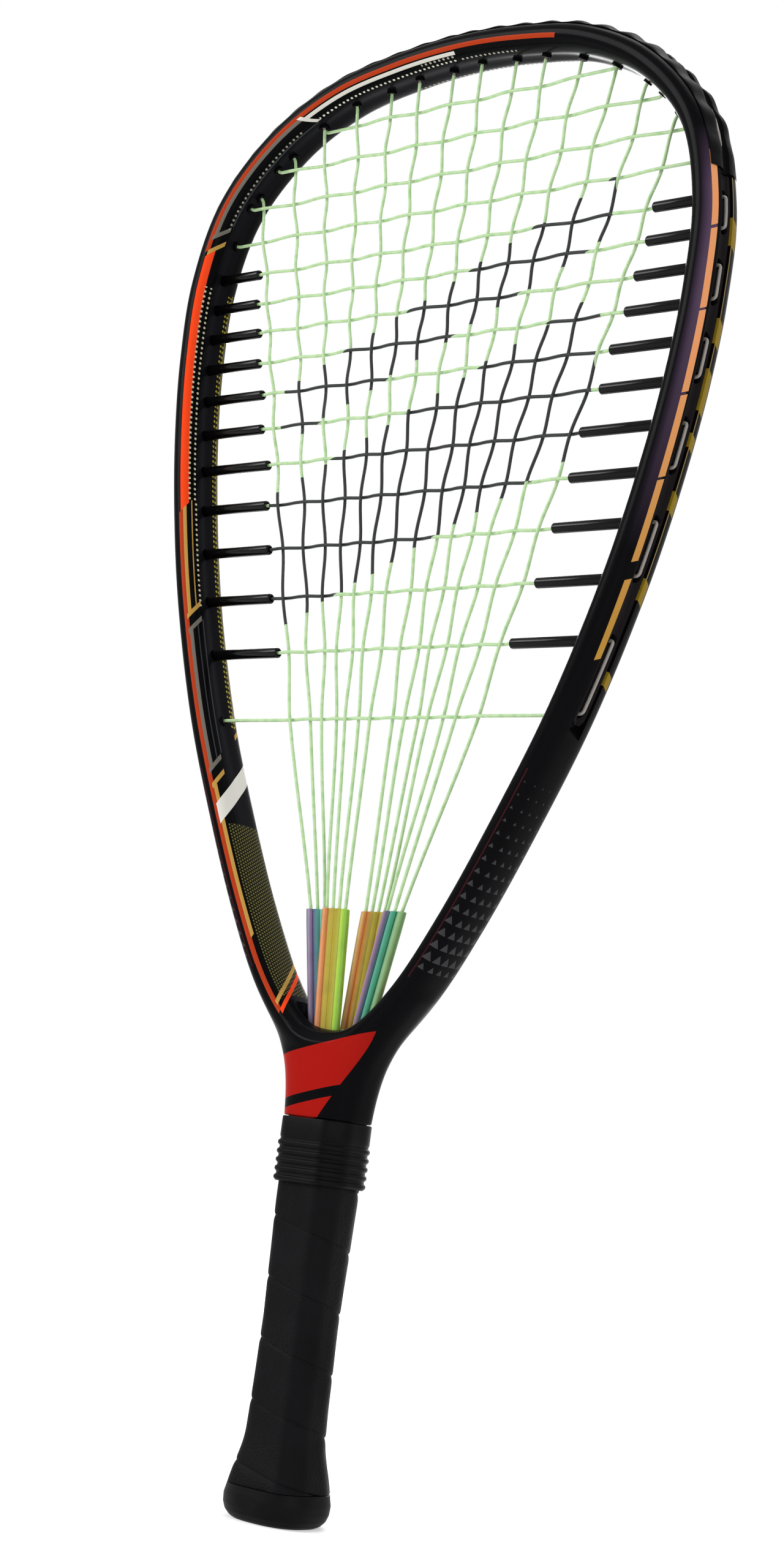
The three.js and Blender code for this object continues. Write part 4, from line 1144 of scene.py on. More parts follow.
def guard_outline(stand):
    """Section of the guard: a channel for the strings, with lips that lie on the rim's outer face."""
    def face(y):
        return float(rim_face(y))
    half = [
        (CHANNEL_FLOOR, 0.0), (CHANNEL_FLOOR, 1.2), (CHANNEL_FLOOR + 0.15, 1.6),
        (STRIP_OUTER - 0.1, 1.9), (FLAT_FACE + stand * 0.75, 2.3), (FLAT_FACE + stand, 3.0),
        (FLAT_FACE + stand, 4.4), (face(5.6) + stand * 0.96, 5.6), (face(6.8) + stand * 0.8 + 0.05, 6.8),
        (face(7.7) + stand * 0.6 + 0.1, 7.7), (face(8.3) + stand * 0.35 + 0.25, 8.3),
        (face(8.4) + 0.35, 8.45), (face(8.2) + 0.28, 8.25), (face(6.5) + 0.28, 6.5),
        (face(4.4) + 0.28, 4.4), (FLAT_FACE + 0.28, GROOVE_HALF_WIDTH - 0.25),
        (FLAT_FACE - 0.1, GROOVE_HALF_WIDTH - FIT), (STRIP_INNER + 0.1, GROOVE_HALF_WIDTH - FIT),
        (STRIP_INNER, GROOVE_HALF_WIDTH - FIT - 0.1), (STRIP_INNER, 0.0),
    ]
    return half + [(n, -y) for n, y in reversed(half) if y > 0]


class RACKET_OT_guard(bpy.types.Operator):
    """Build the bumper guard and the two grommet strips"""
    bl_idname = "racket.guard"
    bl_label = "Guard and strips"

    def execute(self, context):
        plastic = moulded("moulded_nylon_guard", colours().guard, 0.42)
        # The strips are the guard's nylon drawn paler: painted light on their faces, which turn towards the
        # lamps
        paler = moulded("moulded_nylon_strip", colours().strip, 0.5)
        foot = run_at_height(STRIP_OUTER, GUARD_FOOT)
        runs = np.linspace(foot, LOOP - foot, 340)
        rings = []
        for run in runs:
            outline = np.array(guard_outline(float(guard_stand(run, foot))))
            rings.append(rim_point(run, outline[:, 0], outline[:, 1]))
        guard = swept_object("scalloped_guard", rings)
        ways = guard_ways()
        barrels = [rod(*square_way(way, STRIP_INNER + 0.5, BARREL_MOUTH), BARREL_RADIUS) for way in ways]
        combined(guard, joined("barrels", barrels), "UNION", True)
        bores = [rod(*square_way(way, RIM_HALF_WIDTH + 3, BARREL_MOUTH - 1), BORE_RADIUS) for way in ways]
        combined(guard, joined("bores", bores), "DIFFERENCE", True)
        guard.data.materials.clear()
        guard.data.materials.append(plastic)
        smooth(guard, 40)
        dressed(guard, "racket", "bumper_guard")

        half = GROOVE_HALF_WIDTH - FIT
        outline = np.array([
            (STRIP_INNER, -half + 0.1), (STRIP_INNER + 0.1, -half), (STRIP_OUTER - 0.3, -half),
            (STRIP_OUTER, -half + 0.3), (STRIP_OUTER, -2.1), (STRIP_OUTER - 0.15, -1.85),
            (CHANNEL_FLOOR + 0.2, -1.6), (CHANNEL_FLOOR, -1.2), (CHANNEL_FLOOR, 1.2),
            (CHANNEL_FLOOR + 0.2, 1.6), (STRIP_OUTER - 0.15, 1.85), (STRIP_OUTER, 2.1),
            (STRIP_OUTER, half - 0.3), (STRIP_OUTER - 0.3, half), (STRIP_INNER + 0.1, half),
            (STRIP_INNER, half - 0.1)])
        top = run_at_height(STRIP_OUTER, GUARD_FOOT - 2 * FIT)
        for side, word in ((1, "right"), (-1, "left")):
            rings = []
            for run in np.concatenate([STRIP_END_RUNS, np.linspace(157.5, top, 130)]):
                past = max(0.0, STRIP_ROUND_TO - run) / STRIP_ROUND_LENGTH
                taper = math.sqrt(max(0.12, 1 - past ** 2))
                rings.append(rim_point(run, outline[:, 0], outline[:, 1] * taper) * (side, 1, 1))
            strip = swept_object("ribbed_strip_" + word, rings)
            barrel = rod(*level_way(FOOT_ROW, STRIP_INNER + 0.5, BARREL_MOUTH, side), BARREL_RADIUS)
            combined(strip, barrel, "UNION")
            # The strip opens to each tube's full width, so that the tube's mouth shows
            tube = sizes().tube_radius / MM
            bores = [rod(*level_way(z, RIM_HALF_WIDTH + 3, BARREL_MOUTH - 1, side), radius)
                     for z, radius in [(z, tube) for z in TUBE_ROWS] + [(FOOT_ROW, BORE_RADIUS + 0.25)]]
            combined(strip, joined("bores", bores), "DIFFERENCE")
            strip.data.materials.clear()
            strip.data.materials.append(paler)
            smooth(strip, 40)
            dressed(strip, "racket", "grommet_strip_" + word)
        return {"FINISHED"}


class RACKET_OT_tubes(bpy.types.Operator):
    """Build the 22 tubes that lead the crosses through the rim"""
    bl_idname = "racket.tubes"
    bl_label = "Tubes"

    def execute(self, context):
        plastic = moulded("moulded_nylon_gloss", linear("#050506"), 0.16, relief=0.002, specular=0.12)
        radius = sizes().tube_radius / MM
        edge = 0.75
        for i, z in enumerate(TUBE_ROWS):
            tip = abs(main_at(0, z)) + TUBE_TIP_GAPS[i]
            ends = [rim_point(run_at_height(GROOVE_FLOOR, h), GROOVE_FLOOR)[0]
                    for h in (z - radius, z + radius)]
            long = min(ends) - tip
            profile = [(0.0, TUBE_BORE_RADIUS + 0.12)]
            for k in range(7):
                angle = k / 6 * math.pi / 2
                profile.append((edge - edge * math.cos(angle), radius - edge + edge * math.sin(angle)))
            profile += [(long - 0.15, radius), (long, radius - 0.15), (long, TUBE_BORE_RADIUS),
                        (long * 0.5, TUBE_BORE_RADIUS), (0.25, TUBE_BORE_RADIUS)]
            for side, word in ((1, "right"), (-1, "left")):
                tube = turned(f"round_tube_{word}_{i + 1:02d}", (side * tip, 0, z), (side, 0, 0), profile)
                tube.data.materials.append(plastic)
                smooth(tube, 50)
                dressed(tube, "racket", f"tube_{word}_{i + 1:02d}")
        return {"FINISHED"}


# Strings


def woven(points):
    """Adds points between the crossings of a route, so that the string waves smoothly over and under."""
    line = []
    for a, b in zip(points, points[1:]):
        gap = np.linalg.norm(b - a)
        steps = 7 if gap > 5 and abs(b[1] - a[1]) > 0.3 else max(1, int(gap / 9))
        for k in range(steps):
            t = k / steps
            ease = 0.5 - 0.5 * math.cos(math.pi * t)
            line.append(a + (b - a) * (t, ease, t))
    line.append(points[-1])
    return line


def rounded(points, radius=1.4):
    """Rounds the sharp corners of a route."""
    line = [points[0]]
    for before, at, after in zip(points, points[1:], points[2:]):
        into, out = at - before, after - at
        lengths = np.linalg.norm(into) * np.linalg.norm(out)
        bend = math.acos(float(np.clip(into @ out / lengths, -1, 1)))
        line += [at] if bend < 0.25 else corner_points(before, at, after, radius)
    line.append(points[-1])
    return line


def string_object(name, route, sides=10):
    """A string along a route, whose rings outside the rim's line take the second material."""
    points = np.array(woven(rounded(route)))
    steps = np.linalg.norm(np.diff(points, axis=0), axis=1)
    points = points[np.concatenate([[True], steps > 1e-4])]
    tangents = np.gradient(points, axis=0)
    tangents /= np.linalg.norm(tangents, axis=1)[:, None]
    side = np.array((0.0, 1.0, 0.0))
    ring = circle(string_radius(), sides)
    rings = []
    for point, along in zip(points, tangents):
        side = side - along * (side @ along)
        side /= np.linalg.norm(side)
        up = np.cross(along, side)
        rings.append(point + ring[:, :1] * side + ring[:, 1:] * up)
    steps = np.linalg.norm(np.diff(np.mean(rings, axis=1), axis=0), axis=1)
    places = np.concatenate([[0], np.cumsum(steps)]), np.arange(sides + 1) / sides
    string = swept_object(name, rings, coordinates={"string": places})
    flat = points[:, [0, 2]]
    nearest = np.argmin(np.linalg.norm(flat[:, None] - LINE[None, ::4], axis=2), axis=1) * 4
    outside = ((flat - LINE[nearest]) * OUTWARD[nearest]).sum(axis=1) > 0
    slots = np.append(np.repeat(outside[:-1], sides), [False, False])
    string.data.polygons.foreach_set("material_index", slots.astype(np.int32))
    return string


def outside_rim(start, end):
    """Points along the outside of the rim from one way through it to another, drawn in a little at both
    ends, where the string bears on the edges of the bores."""
    lead = math.copysign(OUTSIDE_LEAD, end["run"] - start["run"])
    count = max(2, int(abs(end["run"] - start["run"]) / 4))
    share = np.linspace(0, 1, count)
    runs = start["run"] + lead + (end["run"] - start["run"] - 2 * lead) * share
    return list(rim_point(runs, string_line(), start["y"] + (end["y"] - start["y"]) * share))


def cross_route(ways):
    """The cross string: to and fro through the mains, row by row, and outside the rim between rows."""
    first = cross_way(0, -1, ways)
    points = [rim_point(first["run"] + lead, string_line(), first["y"]) for lead in (6, 0)]
    for row, z in enumerate(ROWS):
        heading = 1 if row % 2 == 0 else -1
        crossings = [np.array((main_at(k, z), -main_side(row, k), z)) for k in mains_crossed(row, ways)]
        across = [cross_way(row, -1, ways)["turn"], *crossings, cross_way(row, 1, ways)["turn"]]
        points += across if heading > 0 else across[::-1]
        out = cross_way(row, heading, ways)
        if row < len(ROWS) - 1:
            points += outside_rim(out, cross_way(row + 1, heading, ways))
        else:
            points.append(rim_point(out["run"], string_line(), out["y"]))
    return points


def barrels():
    """The sleeve barrel that each main runs in: its layer and its places at the tip and foot."""
    found = []
    for bundle, (_, size, layer, pitch, tip_start, foot_start) in enumerate(BUNDLES):
        side = -1 if bundle < 2 else 1
        for i in range(size):
            place = size - 1 - i if side < 0 else i
            found.append({
                "bundle": bundle, "y": layer * SLEEVE_LAYER,
                "tip": side * (tip_start + place * pitch),
                "foot": side * (foot_start + place * SLEEVE_FOOT_PITCH)})
    return found


def slot_of(k):
    """Place along the pin where a main turns round it."""
    return next(i for i, slot in enumerate(PIN_SLOTS) if k in slot)


def slot_x(k):
    return (slot_of(k) - (len(PIN_SLOTS) - 1) / 2) * PIN_SLOT_PITCH


def turn_radius():
    return PIN_RADIUS + PIN_CLEARANCE + string_radius()


def main_run(k, ways, sleeves):
    """One main from the pin up through its sleeve and the crosses to where it turns into the rim."""
    one = sleeves[k]
    crossings = [np.array((main_at(k, z), main_side(row, k), z)) for row, z in enumerate(ROWS)]
    return [
        np.array((slot_x(k), math.copysign(turn_radius(), one["y"]), PIN_HEIGHT)),
        np.array((one["foot"], one["y"], SLEEVE_FOOT - FIT)),
        np.array((one["tip"], one["y"], SLEEVE_TIP + FIT)),
        *crossings[ways[k]["top_row"]:][::-1],
        ways[k]["turn"],
    ]


def pin_turn(k, sleeves, steps):
    """Points round the pin, an eighth of a half turn apart, from the side that a main comes down on."""
    side = math.copysign(1, sleeves[k]["y"])
    line = []
    for i in range(steps):
        angle = (i + 1) * math.pi / 8
        line.append(np.array((
            slot_x(k), side * turn_radius() * math.cos(angle), PIN_HEIGHT - turn_radius() * math.sin(angle))))
    return line


def end_tail(k, sleeves):
    """The string's end, which comes half round the pin and a little way up again."""
    turn = pin_turn(k, sleeves, 8)
    return [*turn, turn[-1] + (0, 0, 4)]


def main_route(ways):
    """The main string: over the top of the rim from one main to the next, and round the pin."""
    sleeves = barrels()
    points = [*end_tail(0, sleeves)[::-1], *main_run(0, ways, sleeves)]
    k, last = 0, len(MAINS) - 1
    while k != last:
        following = k + 1 if k % 2 == 0 else k - 1
        points += [*outside_rim(ways[k], ways[following]), *main_run(following, ways, sleeves)[::-1]]
        partner = [other for other in PIN_SLOTS[slot_of(following)] if other != following]
        if partner:
            points += [*pin_turn(following, sleeves, 7), *main_run(partner[0], ways, sleeves)]
            k = partner[0]
        else:
            points += end_tail(following, sleeves)
            k = following
    return points


def string_finish():
    """Multifilament nylon string: pale and slightly translucent, its twist just felt under a clear skin,
    with two plain slanted bars of black ink rolled on over the weave."""
    made, tree, shader, where = finish("multifilament_nylon", colours().strings, 0.32, specular=0.35)
    shader.inputs["Subsurface Weight"].default_value = 0.15
    shader.inputs["Subsurface Radius"].default_value = (0.6, 0.6, 0.5)
    shader.inputs["Subsurface Scale"].default_value = 0.6 * MM
    along, turn = map_coordinates(tree, "string")
    twist = add(tree, "Math", along, 1 / 3.2, turn, operation="MULTIPLY_ADD")
    strand = add(tree, "Math", twist, 6 * 2 * math.pi, operation="MULTIPLY")
    strand = add(tree, "Math", strand, operation="SINE")
    bumped(tree, shader, strand, 0.03)
    soil = add(tree, "Math", along, 0.05, operation="MULTIPLY")
    noise = add(tree, "TexNoise", None, soil, noise_dimensions="1D")
    used = add(tree, "MapRange", noise, 0.4, 0.75, 0.0, 0.8)
    base = painted(tree, tuple(colours().strings), linear("#9CC888"), used)
    x, _, z = add(tree, "SeparateXYZ", where).node.outputs
    lean = add(tree, "Math", x, -0.45, z, operation="MULTIPLY_ADD")
    bars = add(tree, "Math", between(tree, lean, 0.352, 0.412), between(tree, lean, 0.432, 0.456),
               operation="MAXIMUM")
    bars = add(tree, "Math", bars, between(tree, x, -0.072, 0.078), operation="MULTIPLY")
    tree.links.new(painted(tree, base, tuple(colours().ink), bars), shader.inputs["Base Color"])
    return made


class RACKET_OT_strings(bpy.types.Operator):
    """Build the two woven strings"""
    bl_idname = "racket.strings"
    bl_label = "Strings"

    def execute(self, context):
        nylon = string_finish()
        # Outside the rim the string is drawn greyer and duller in colour, and glossier
        greyer, _, shader, _ = finish("multifilament_nylon_greyer", linear("#8C8680"), 0.25)
        shader.inputs["Subsurface Weight"].default_value = 0.1
        shader.inputs["Subsurface Scale"].default_value = 0.6 * MM
        ways = [main_way(k) for k in MAINS]
        for name, node, route in (
                ("woven_mains", "main_string", main_route(ways)),
                ("woven_crosses", "cross_string", cross_route(ways))):
            string = string_object(name, route)
            string.data.materials.append(nylon)
            string.data.materials.append(greyer)
            smooth(string, 60)
            dressed(string, "racket", node)
        return {"FINISHED"}


# Sleeves

# Tints of each bundle, evenly from its left edge to its right, with painted highlights and painted shade of
# the barrels among them: the lighter mauve, peach and tan steps are painted highlights, the dark slate and
# darker orange steps painted shade
SLEEVE_TINTS_AND_PAINTED_LIGHT = {
    "sleeve_outer_left": ["#3C4656", "#9A8CA6", "#6A5A80", "#4A7088", "#5FA897", "#6FB8A0", "#7AA890"],
    "sleeve_inner_left": [
        "#B8743C", "#D89468", "#B8701C", "#A8983A", "#B8A834", "#9C8C18", "#B8B84C", "#9CC840", "#88B838"],
    "sleeve_inner_right": [
        "#B08A44", "#C8A468", "#B4640C", "#B0702A", "#A89C3C", "#98881A", "#A89428", "#B0A840", "#A8A838"],
    "sleeve_outer_right": [
        "#A890A8", "#8E6E88", "#48506A", "#50A088", "#3A9070", "#2E8058", "#8CB080", "#7CA86A"],
}


def sleeve_outline(share, members):
    """Scalloped outline round a bundle's barrels at a share of its length."""
    radius = SLEEVE_FOOT_RADIUS + (SLEEVE_TIP_RADIUS - SLEEVE_FOOT_RADIUS) * share
    centres = [one["foot"] + (one["tip"] - one["foot"]) * share for one in members]
    size = len(centres)
    meet = math.asin(min(1.0, (centres[1] - centres[0]) / 2 / radius))
    front = []
    for i, x in enumerate(centres):
        low = -math.pi / 2 if i == 0 else -meet
        high = math.pi / 2 if i == size - 1 else meet
        for t in np.linspace(low, high, 11):
            front.append((x + radius * math.sin(t), -radius * math.cos(t)))
    rear = [(x, -y) for x, y in reversed(front)]
    return np.array(front + rear) + (0, members[0]["y"]), centres, radius


class RACKET_OT_sleeves(bpy.types.Operator):
    """Build the four bundles of string sleeves"""
    bl_idname = "racket.sleeves"
    bl_label = "Sleeves"

    def execute(self, context):
        for bundle, (name, *_) in enumerate(BUNDLES):
            members = [one for one in barrels() if one["bundle"] == bundle]
            rings = []
            shares = np.linspace(0, 1, 13)
            trims = [(0.0, 0.35), (0.0, 0.12), *[(s, 0.0) for s in shares[1:-1]], (1.0, 0.12), (1.0, 0.35)]
            for index, (share, trim) in enumerate(trims):
                line, centres, radius = sleeve_outline(share, members)
                middle = np.array((np.mean(centres), members[0]["y"]))
                away = line - middle
                away[:, 0] *= 1 - trim / (len(members) * radius)
                away[:, 1] *= 1 - trim / radius
                z = SLEEVE_FOOT + (SLEEVE_TIP - SLEEVE_FOOT) * share
                z += (0.35 - trim if index < 2 else trim - 0.35 if index > len(trims) - 3 else 0)
                rings.append(np.column_stack([away + middle, np.full(len(line), z)]))
            sleeve = swept_object("fused_" + name, rings)
            bores = []
            for one in members:
                lean = (one["tip"] - one["foot"]) / (SLEEVE_TIP - SLEEVE_FOOT)
                bores.append(rod(
                    (one["foot"] - lean * 2, one["y"], SLEEVE_FOOT - 2),
                    (one["tip"] + lean * 2, one["y"], SLEEVE_TIP + 2), SLEEVE_BORE_RADIUS))
            combined(sleeve, joined("bores", bores), "DIFFERENCE")
            sleeve.data.materials.clear()
            sleeve.data.materials.append(self.plastic(name, members))
            smooth(sleeve, 28)
            dressed(sleeve, "racket", name)
        return {"FINISHED"}

    def plastic(self, name, members):
        """Translucent tinted plastic: each barrel has its own tint, glossy and a little soft in depth;
        lighter and darker steps of the tints are painted highlight and painted shade.
        """
        tints_and_light = SLEEVE_TINTS_AND_PAINTED_LIGHT[name]
        made, tree, shader, where = finish(
            "tinted_painted_light_tube_plastic_" + name.removeprefix("sleeve_"), linear(tints_and_light[0]), 0.3, specular=0.35)
        x, _, z = add(tree, "SeparateXYZ", where).node.outputs
        # From half a pitch left of the first barrel to half a pitch right of the last, 0 to 1
        edges = []
        for end in ("foot", "tip"):
            first, second, last = members[0][end], members[1][end], members[-1][end]
            edges.append((first - (second - first) / 2, last + (second - first) / 2))
        share = add(tree, "MapRange", z, SLEEVE_FOOT * MM, SLEEVE_TIP * MM, 0.0, 1.0)
        left, right = [
            add(tree, "Math", share, (tip - foot) * MM, foot * MM, operation="MULTIPLY_ADD")
            for foot, tip in zip(*edges)]
        place = add(tree, "MapRange", x, left, right, 0.0, 1.0)
        # The ramp lays the tints across the bundle, painted highlights and painted shade among them
        ramp = add(tree, "ValToRGB", place).node
        elements = ramp.color_ramp.elements
        elements[0].color = linear(tints_and_light[0])
        elements[1].color = linear(tints_and_light[-1])
        for i, tone in enumerate(tints_and_light[1:-1], 1):
            elements.new(i / (len(tints_and_light) - 1)).color = linear(tone)
        noise = soft_noise(tree, where, 7)
        darker = painted(tree, ramp.outputs["Color"], linear("#302820"),
                         add(tree, "MapRange", noise, 0.45, 0.8, 0.0, 0.2))
        tree.links.new(darker, shader.inputs["Base Color"])
        shader.inputs["Subsurface Weight"].default_value = 0.2
        shader.inputs["Subsurface Radius"].default_value = (1.0, 0.8, 0.6)
        shader.inputs["Subsurface Scale"].default_value = 0.8 * MM
        bumped(tree, shader, noise, 0.05)
        return made


# Handle


def grip_outline(half_width, inset=0.0):
    """The grip's octagon with rounded corners, evenly spaced from its right side on."""
    w, d = half_width, half_width * DEPTH_SHARE
    u, v = w * FACE_FLAT, d * SIDE_FLAT
    w, d = w - inset, d - inset
    u, v = u - inset * 0.4, v - inset * 0.4
    corners = np.array([(w, -v), (w, v), (u, d), (-u, d), (-w, v), (-w, -v), (-u, -d), (u, -d)])
    line = []
    for before, at, after in zip(np.roll(corners, 1, axis=0), corners, np.roll(corners, -1, axis=0)):
        line += corner_points(before, at, after, GRIP_CORNER)
    dense = even(line, 10 * GRIP_COLUMNS)
    start = int(np.argmin(np.abs(np.arctan2(dense[:, 1], dense[:, 0]))))
    return even(np.roll(dense, -start, axis=0), GRIP_COLUMNS)


def grip_at(z):
    """Half the width of the wrap at a height, with its changes softened."""
    rows = np.array(GRIP_ROWS)
    fine = np.linspace(rows[0, 0], rows[-1, 0], 300)
    width = running_mean(np.interp(fine, rows[:, 0], rows[:, 1]), 9, mode="edge")
    return float(np.interp(z, fine, width))


class RACKET_OT_grip(bpy.types.Operator):
    """Build the grip's spiral wrap and its finishing tape"""
    bl_idname = "racket.grip"
    bl_label = "Grip"

    def execute(self, context):
        pitch, step = sizes().seam_pitch / MM, sizes().seam_step / MM
        foot, top = GRIP_ROWS[0][0], GRIP_ROWS[-1][0]
        turns = int(math.ceil((top - foot) / pitch)) + 1
        # Share of the strip's width up from its lower edge, and how far each place stands in
        profile = [(0.0, 1.0), (0.012, 0.42), (0.03, 0.12), (0.06, 0.0), (0.14, 0.0)]
        profile += [(0.14 + 0.74 * k / 12, 0.06 * math.sin(math.pi * k / 12)) for k in range(1, 13)]
        profile += [(0.91, 0.12), (0.94, 0.3), (0.965, 0.6), (0.985, 0.86), (0.998, 1.0)]
        # The spiral runs on past both ends of the grip, where it is cut off square
        rows = [(turn + share, inward) for turn in range(-2, turns + 1) for share, inward in profile]
        heights = np.linspace(foot, top, 120)
        table = np.array([grip_outline(grip_at(z)) for z in heights])
        rings = []
        for place, inward in rows:
            ring = []
            for j in range(GRIP_COLUMNS):
                z = foot + pitch * (place - j / GRIP_COLUMNS)
                x, y = [np.interp(z, heights, table[:, j, k]) for k in (0, 1)]
                drawn = 1 - step * inward / math.hypot(x, y)
                ring.append((x * drawn, y * drawn, z))
            rings.append(ring)
        count = len(profile)

        def at(a, b):
            """A point of the spiral; the last column meets the first of the turn below."""
            return a * GRIP_COLUMNS + b if b < GRIP_COLUMNS else (a - count) * GRIP_COLUMNS

        faces = [
            [at(i, j), at(i, j + 1), at(i + 1, j + 1), at(i + 1, j)]
            for i in range(count, len(rings) - 1) for j in range(GRIP_COLUMNS)]
        wrap = mesh_object("spiral_wrap", np.array(rings).reshape(-1, 3), faces)
        self.cut_off(wrap, foot, -1)
        self.cut_off(wrap, top, 1)
        levels = [(z, grip_outline(grip_at(z), WRAP_THICKNESS)) for z in np.linspace(foot, top, 40)]
        bore = stacked("bore", [(foot - 1, levels[0][1])] + levels + [(top + 1, levels[-1][1])])
        combined(wrap, bore, "DIFFERENCE")
        wrap.data.materials.clear()
        wrap.data.materials.append(self.leather())
        smooth(wrap, 38)
        dressed(wrap, "racket", "grip_wrap")

        width = GRIP_ROWS[-1][1]
        edge, outer, inner = [grip_outline(width, inset) for inset in (0.1, 0.0, TAPE_THICKNESS)]
        low = top + FIT
        tape = stacked("finishing_tape", [
            (low, edge), (low + 0.1, outer), (low + 2, outer), (GRIP_TOP - 0.1, outer),
            (GRIP_TOP, edge), (GRIP_TOP, inner), (low, inner)], around_rows=True)
        tape.data.materials.append(self.vinyl())
        smooth(tape, 40)
        dressed(tape, "racket", "grip_tape")
        return {"FINISHED"}

    def cut_off(self, wrap, level, facing):
        """Cuts the wrap off square at a height, on the side that facing gives, and closes the cut."""
        with edited(wrap) as work:
            whole = work.verts[:] + work.edges[:] + work.faces[:]
            bmesh.ops.bisect_plane(work, geom=whole, plane_co=(0, 0, level * MM),
                                   plane_no=(0, 0, facing), clear_outer=True)
            loose = [v for v in work.verts if not v.link_faces]
            bmesh.ops.delete(work, geom=loose, context="VERTS")
            near = [e for e in work.edges
                    if e.is_boundary and all(abs(v.co.z - level * MM) < 0.001 * MM for v in e.verts)]
            bmesh.ops.contextual_create(work, geom=near)

    def leather(self):
        """Synthetic leather wrap: fine pebble grain, dull with a soft sheen where the hand rubs it."""
        made, tree, shader, where = finish("synthetic_leather_wrap", colours().grip, 0.58, specular=0.06)
        # Pebbles of 0.9 mm, drawn a little coarse so that they show
        bumped(tree, shader, pebbles(tree, where, 0.9), 0.12)
        mottled(tree, shader, where, 14, 0.25)
        worn_gloss(tree, shader, where, 22, 0.5, 0.68, start=0.35)
        return made

    def vinyl(self):
        """Finishing tape: thin calendered vinyl, satin and faintly rippled where it is stretched."""
        made, tree, shader, where = finish("calendered_vinyl_tape", linear("#0D0D0E"), 0.4, specular=0.1)
        mottled(tree, shader, where, 8, 0.15)
        bumped(tree, shader, soft_noise(tree, where, 5), 0.06)
        return made


class RACKET_OT_collar(bpy.types.Operator):
    """Build the ribbed rubber collar"""
    bl_idname = "racket.collar"
    bl_label = "Collar"

    def execute(self, context):
        width = GRIP_ROWS[-1][1]
        pitch, count = sizes().rib_pitch / MM, sizes().rib_count

        def outer(thickness):
            return grip_outline(width, -COLLAR_GAP - thickness)

        levels = [(COLLAR_FOOT, outer(0.85)), (COLLAR_FOOT + 0.12, outer(1.1))]
        for i in range(count):
            z = COLLAR_FOOT + 0.3 + i * pitch
            for share, thick in ((0.0, 1.15), (0.07, 1.45), (0.18, 1.68), (0.32, 1.75), (0.46, 1.68),
                                 (0.57, 1.45), (0.64, 1.15), (0.74, 0.98), (0.9, 0.98)):
                levels.append((z + share * pitch, outer(thick)))
        band = COLLAR_FOOT + 0.3 + count * pitch
        levels += [(band, outer(1.15)), (band + 0.3, outer(1.25)), (band + 2, outer(1.25)),
                   (COLLAR_TOP - 0.5, outer(1.25)), (COLLAR_TOP - 0.12, outer(1.1)), (COLLAR_TOP, outer(0.8))]
        levels += [(COLLAR_TOP, outer(0.0)), (COLLAR_FOOT, outer(0.0))]
        collar = stacked("ribbed_collar", levels, around_rows=True)
        # Moulded rubber: dull and soft in tone, with a fine dust-like grain
        made, tree, shader, where = finish("moulded_rubber_collar", colours().rubber, 0.45, specular=0.05)
        mottled(tree, shader, where, 6, 0.3)
        bumped(tree, shader, soft_noise(tree, where, 0.7), 0.03)
        collar.data.materials.append(made)
        smooth(collar, 30)
        dressed(collar, "collar_ring", "collar")
        return {"FINISHED"}


class RACKET_OT_butt(bpy.types.Operator):
    """Build the butt cap"""
    bl_idname = "racket.butt"
    bl_label = "Butt cap"

    def execute(self, context):
        angles = np.arange(96) / 96 * 2 * math.pi

        def outside(width):
            return superellipse(width, width * CAP_DEPTH_SHARE, 2.5, angles)

        def inside(width):
            return superellipse(width, width * DEPTH_SHARE, 3.2, angles)

        line = even(CAP_ROWS, 60, closed=False)
        soft = np.stack([running_mean(line[:, k], 5, mode="edge") for k in (0, 1)], axis=1)
        soft[0], soft[-1] = line[0], line[-1]
        levels = [(z, outside(width)) for z, width in soft]
        # The rim's top, the skirt that goes up inside the wrap, and the bore down the middle
        skirt, bore = inside(GRIP_ROWS[0][1] - WRAP_THICKNESS - FIT), inside(CAP_BORE_HALF_WIDTH)
        levels += [(CAP_RIM, outside(CAP_RIM_HALF_WIDTH)), (CAP_RIM, skirt)]
        levels += [(z, inside(grip_at(z) - WRAP_THICKNESS - FIT - 0.15)) for z in (12.5, 17, 22, CAP_TOP)]
        levels += [(CAP_TOP, bore), (CAP_BORE_FLOOR, bore)]
        cap = stacked("moulded_butt", levels)
        # Rubberised plastic: nearly matt, with soft wear in its tone and a fine grain
        made, tree, shader, where = finish("rubberised_butt_plastic", linear("#090909"), 0.5, specular=0.06)
        mottled(tree, shader, where, 12, 0.25)
        bumped(tree, shader, soft_noise(tree, where, 0.8, 3.0, 0.6), 0.05)
        cap.data.materials.append(made)
        smooth(cap, 38)
        dressed(cap, "racket", "butt_cap")
        return {"FINISHED"}


class RACKET_OT_hidden(bpy.types.Operator):
    """Finish the pin, the pallet and the staples, which keep their CAD shapes"""
    bl_idname = "racket.hidden"
    bl_label = "Pin, pallet and staples"

    def execute(self, context):
        # Drawn wire: bright, with faint marks of the die
        steel, tree, shader, where = finish("drawn_steel_wire", linear("#9C9EA2"), 0.3, metallic=1.0)
        bumped(tree, shader, mottled(tree, shader, where, 1.2, 0.12), 0.02)
        # Foam: matt and open, in cells of 0.8 mm
        foam, tree, shader, where = finish("foamed_polyurethane", linear("#4A4640"), 0.9, specular=0.3)
        mottled(tree, shader, where, 3, 0.2)
        bumped(tree, shader, pebbles(tree, where, 0.8), 0.2)
        for node, material in (
                ("string_pin", steel), ("butt_staple_right", steel), ("butt_staple_left", steel),
                ("handle_pallet", foam)):
            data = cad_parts[node].data
            data.materials.clear()
            data.materials.append(material)
        return {"FINISHED"}


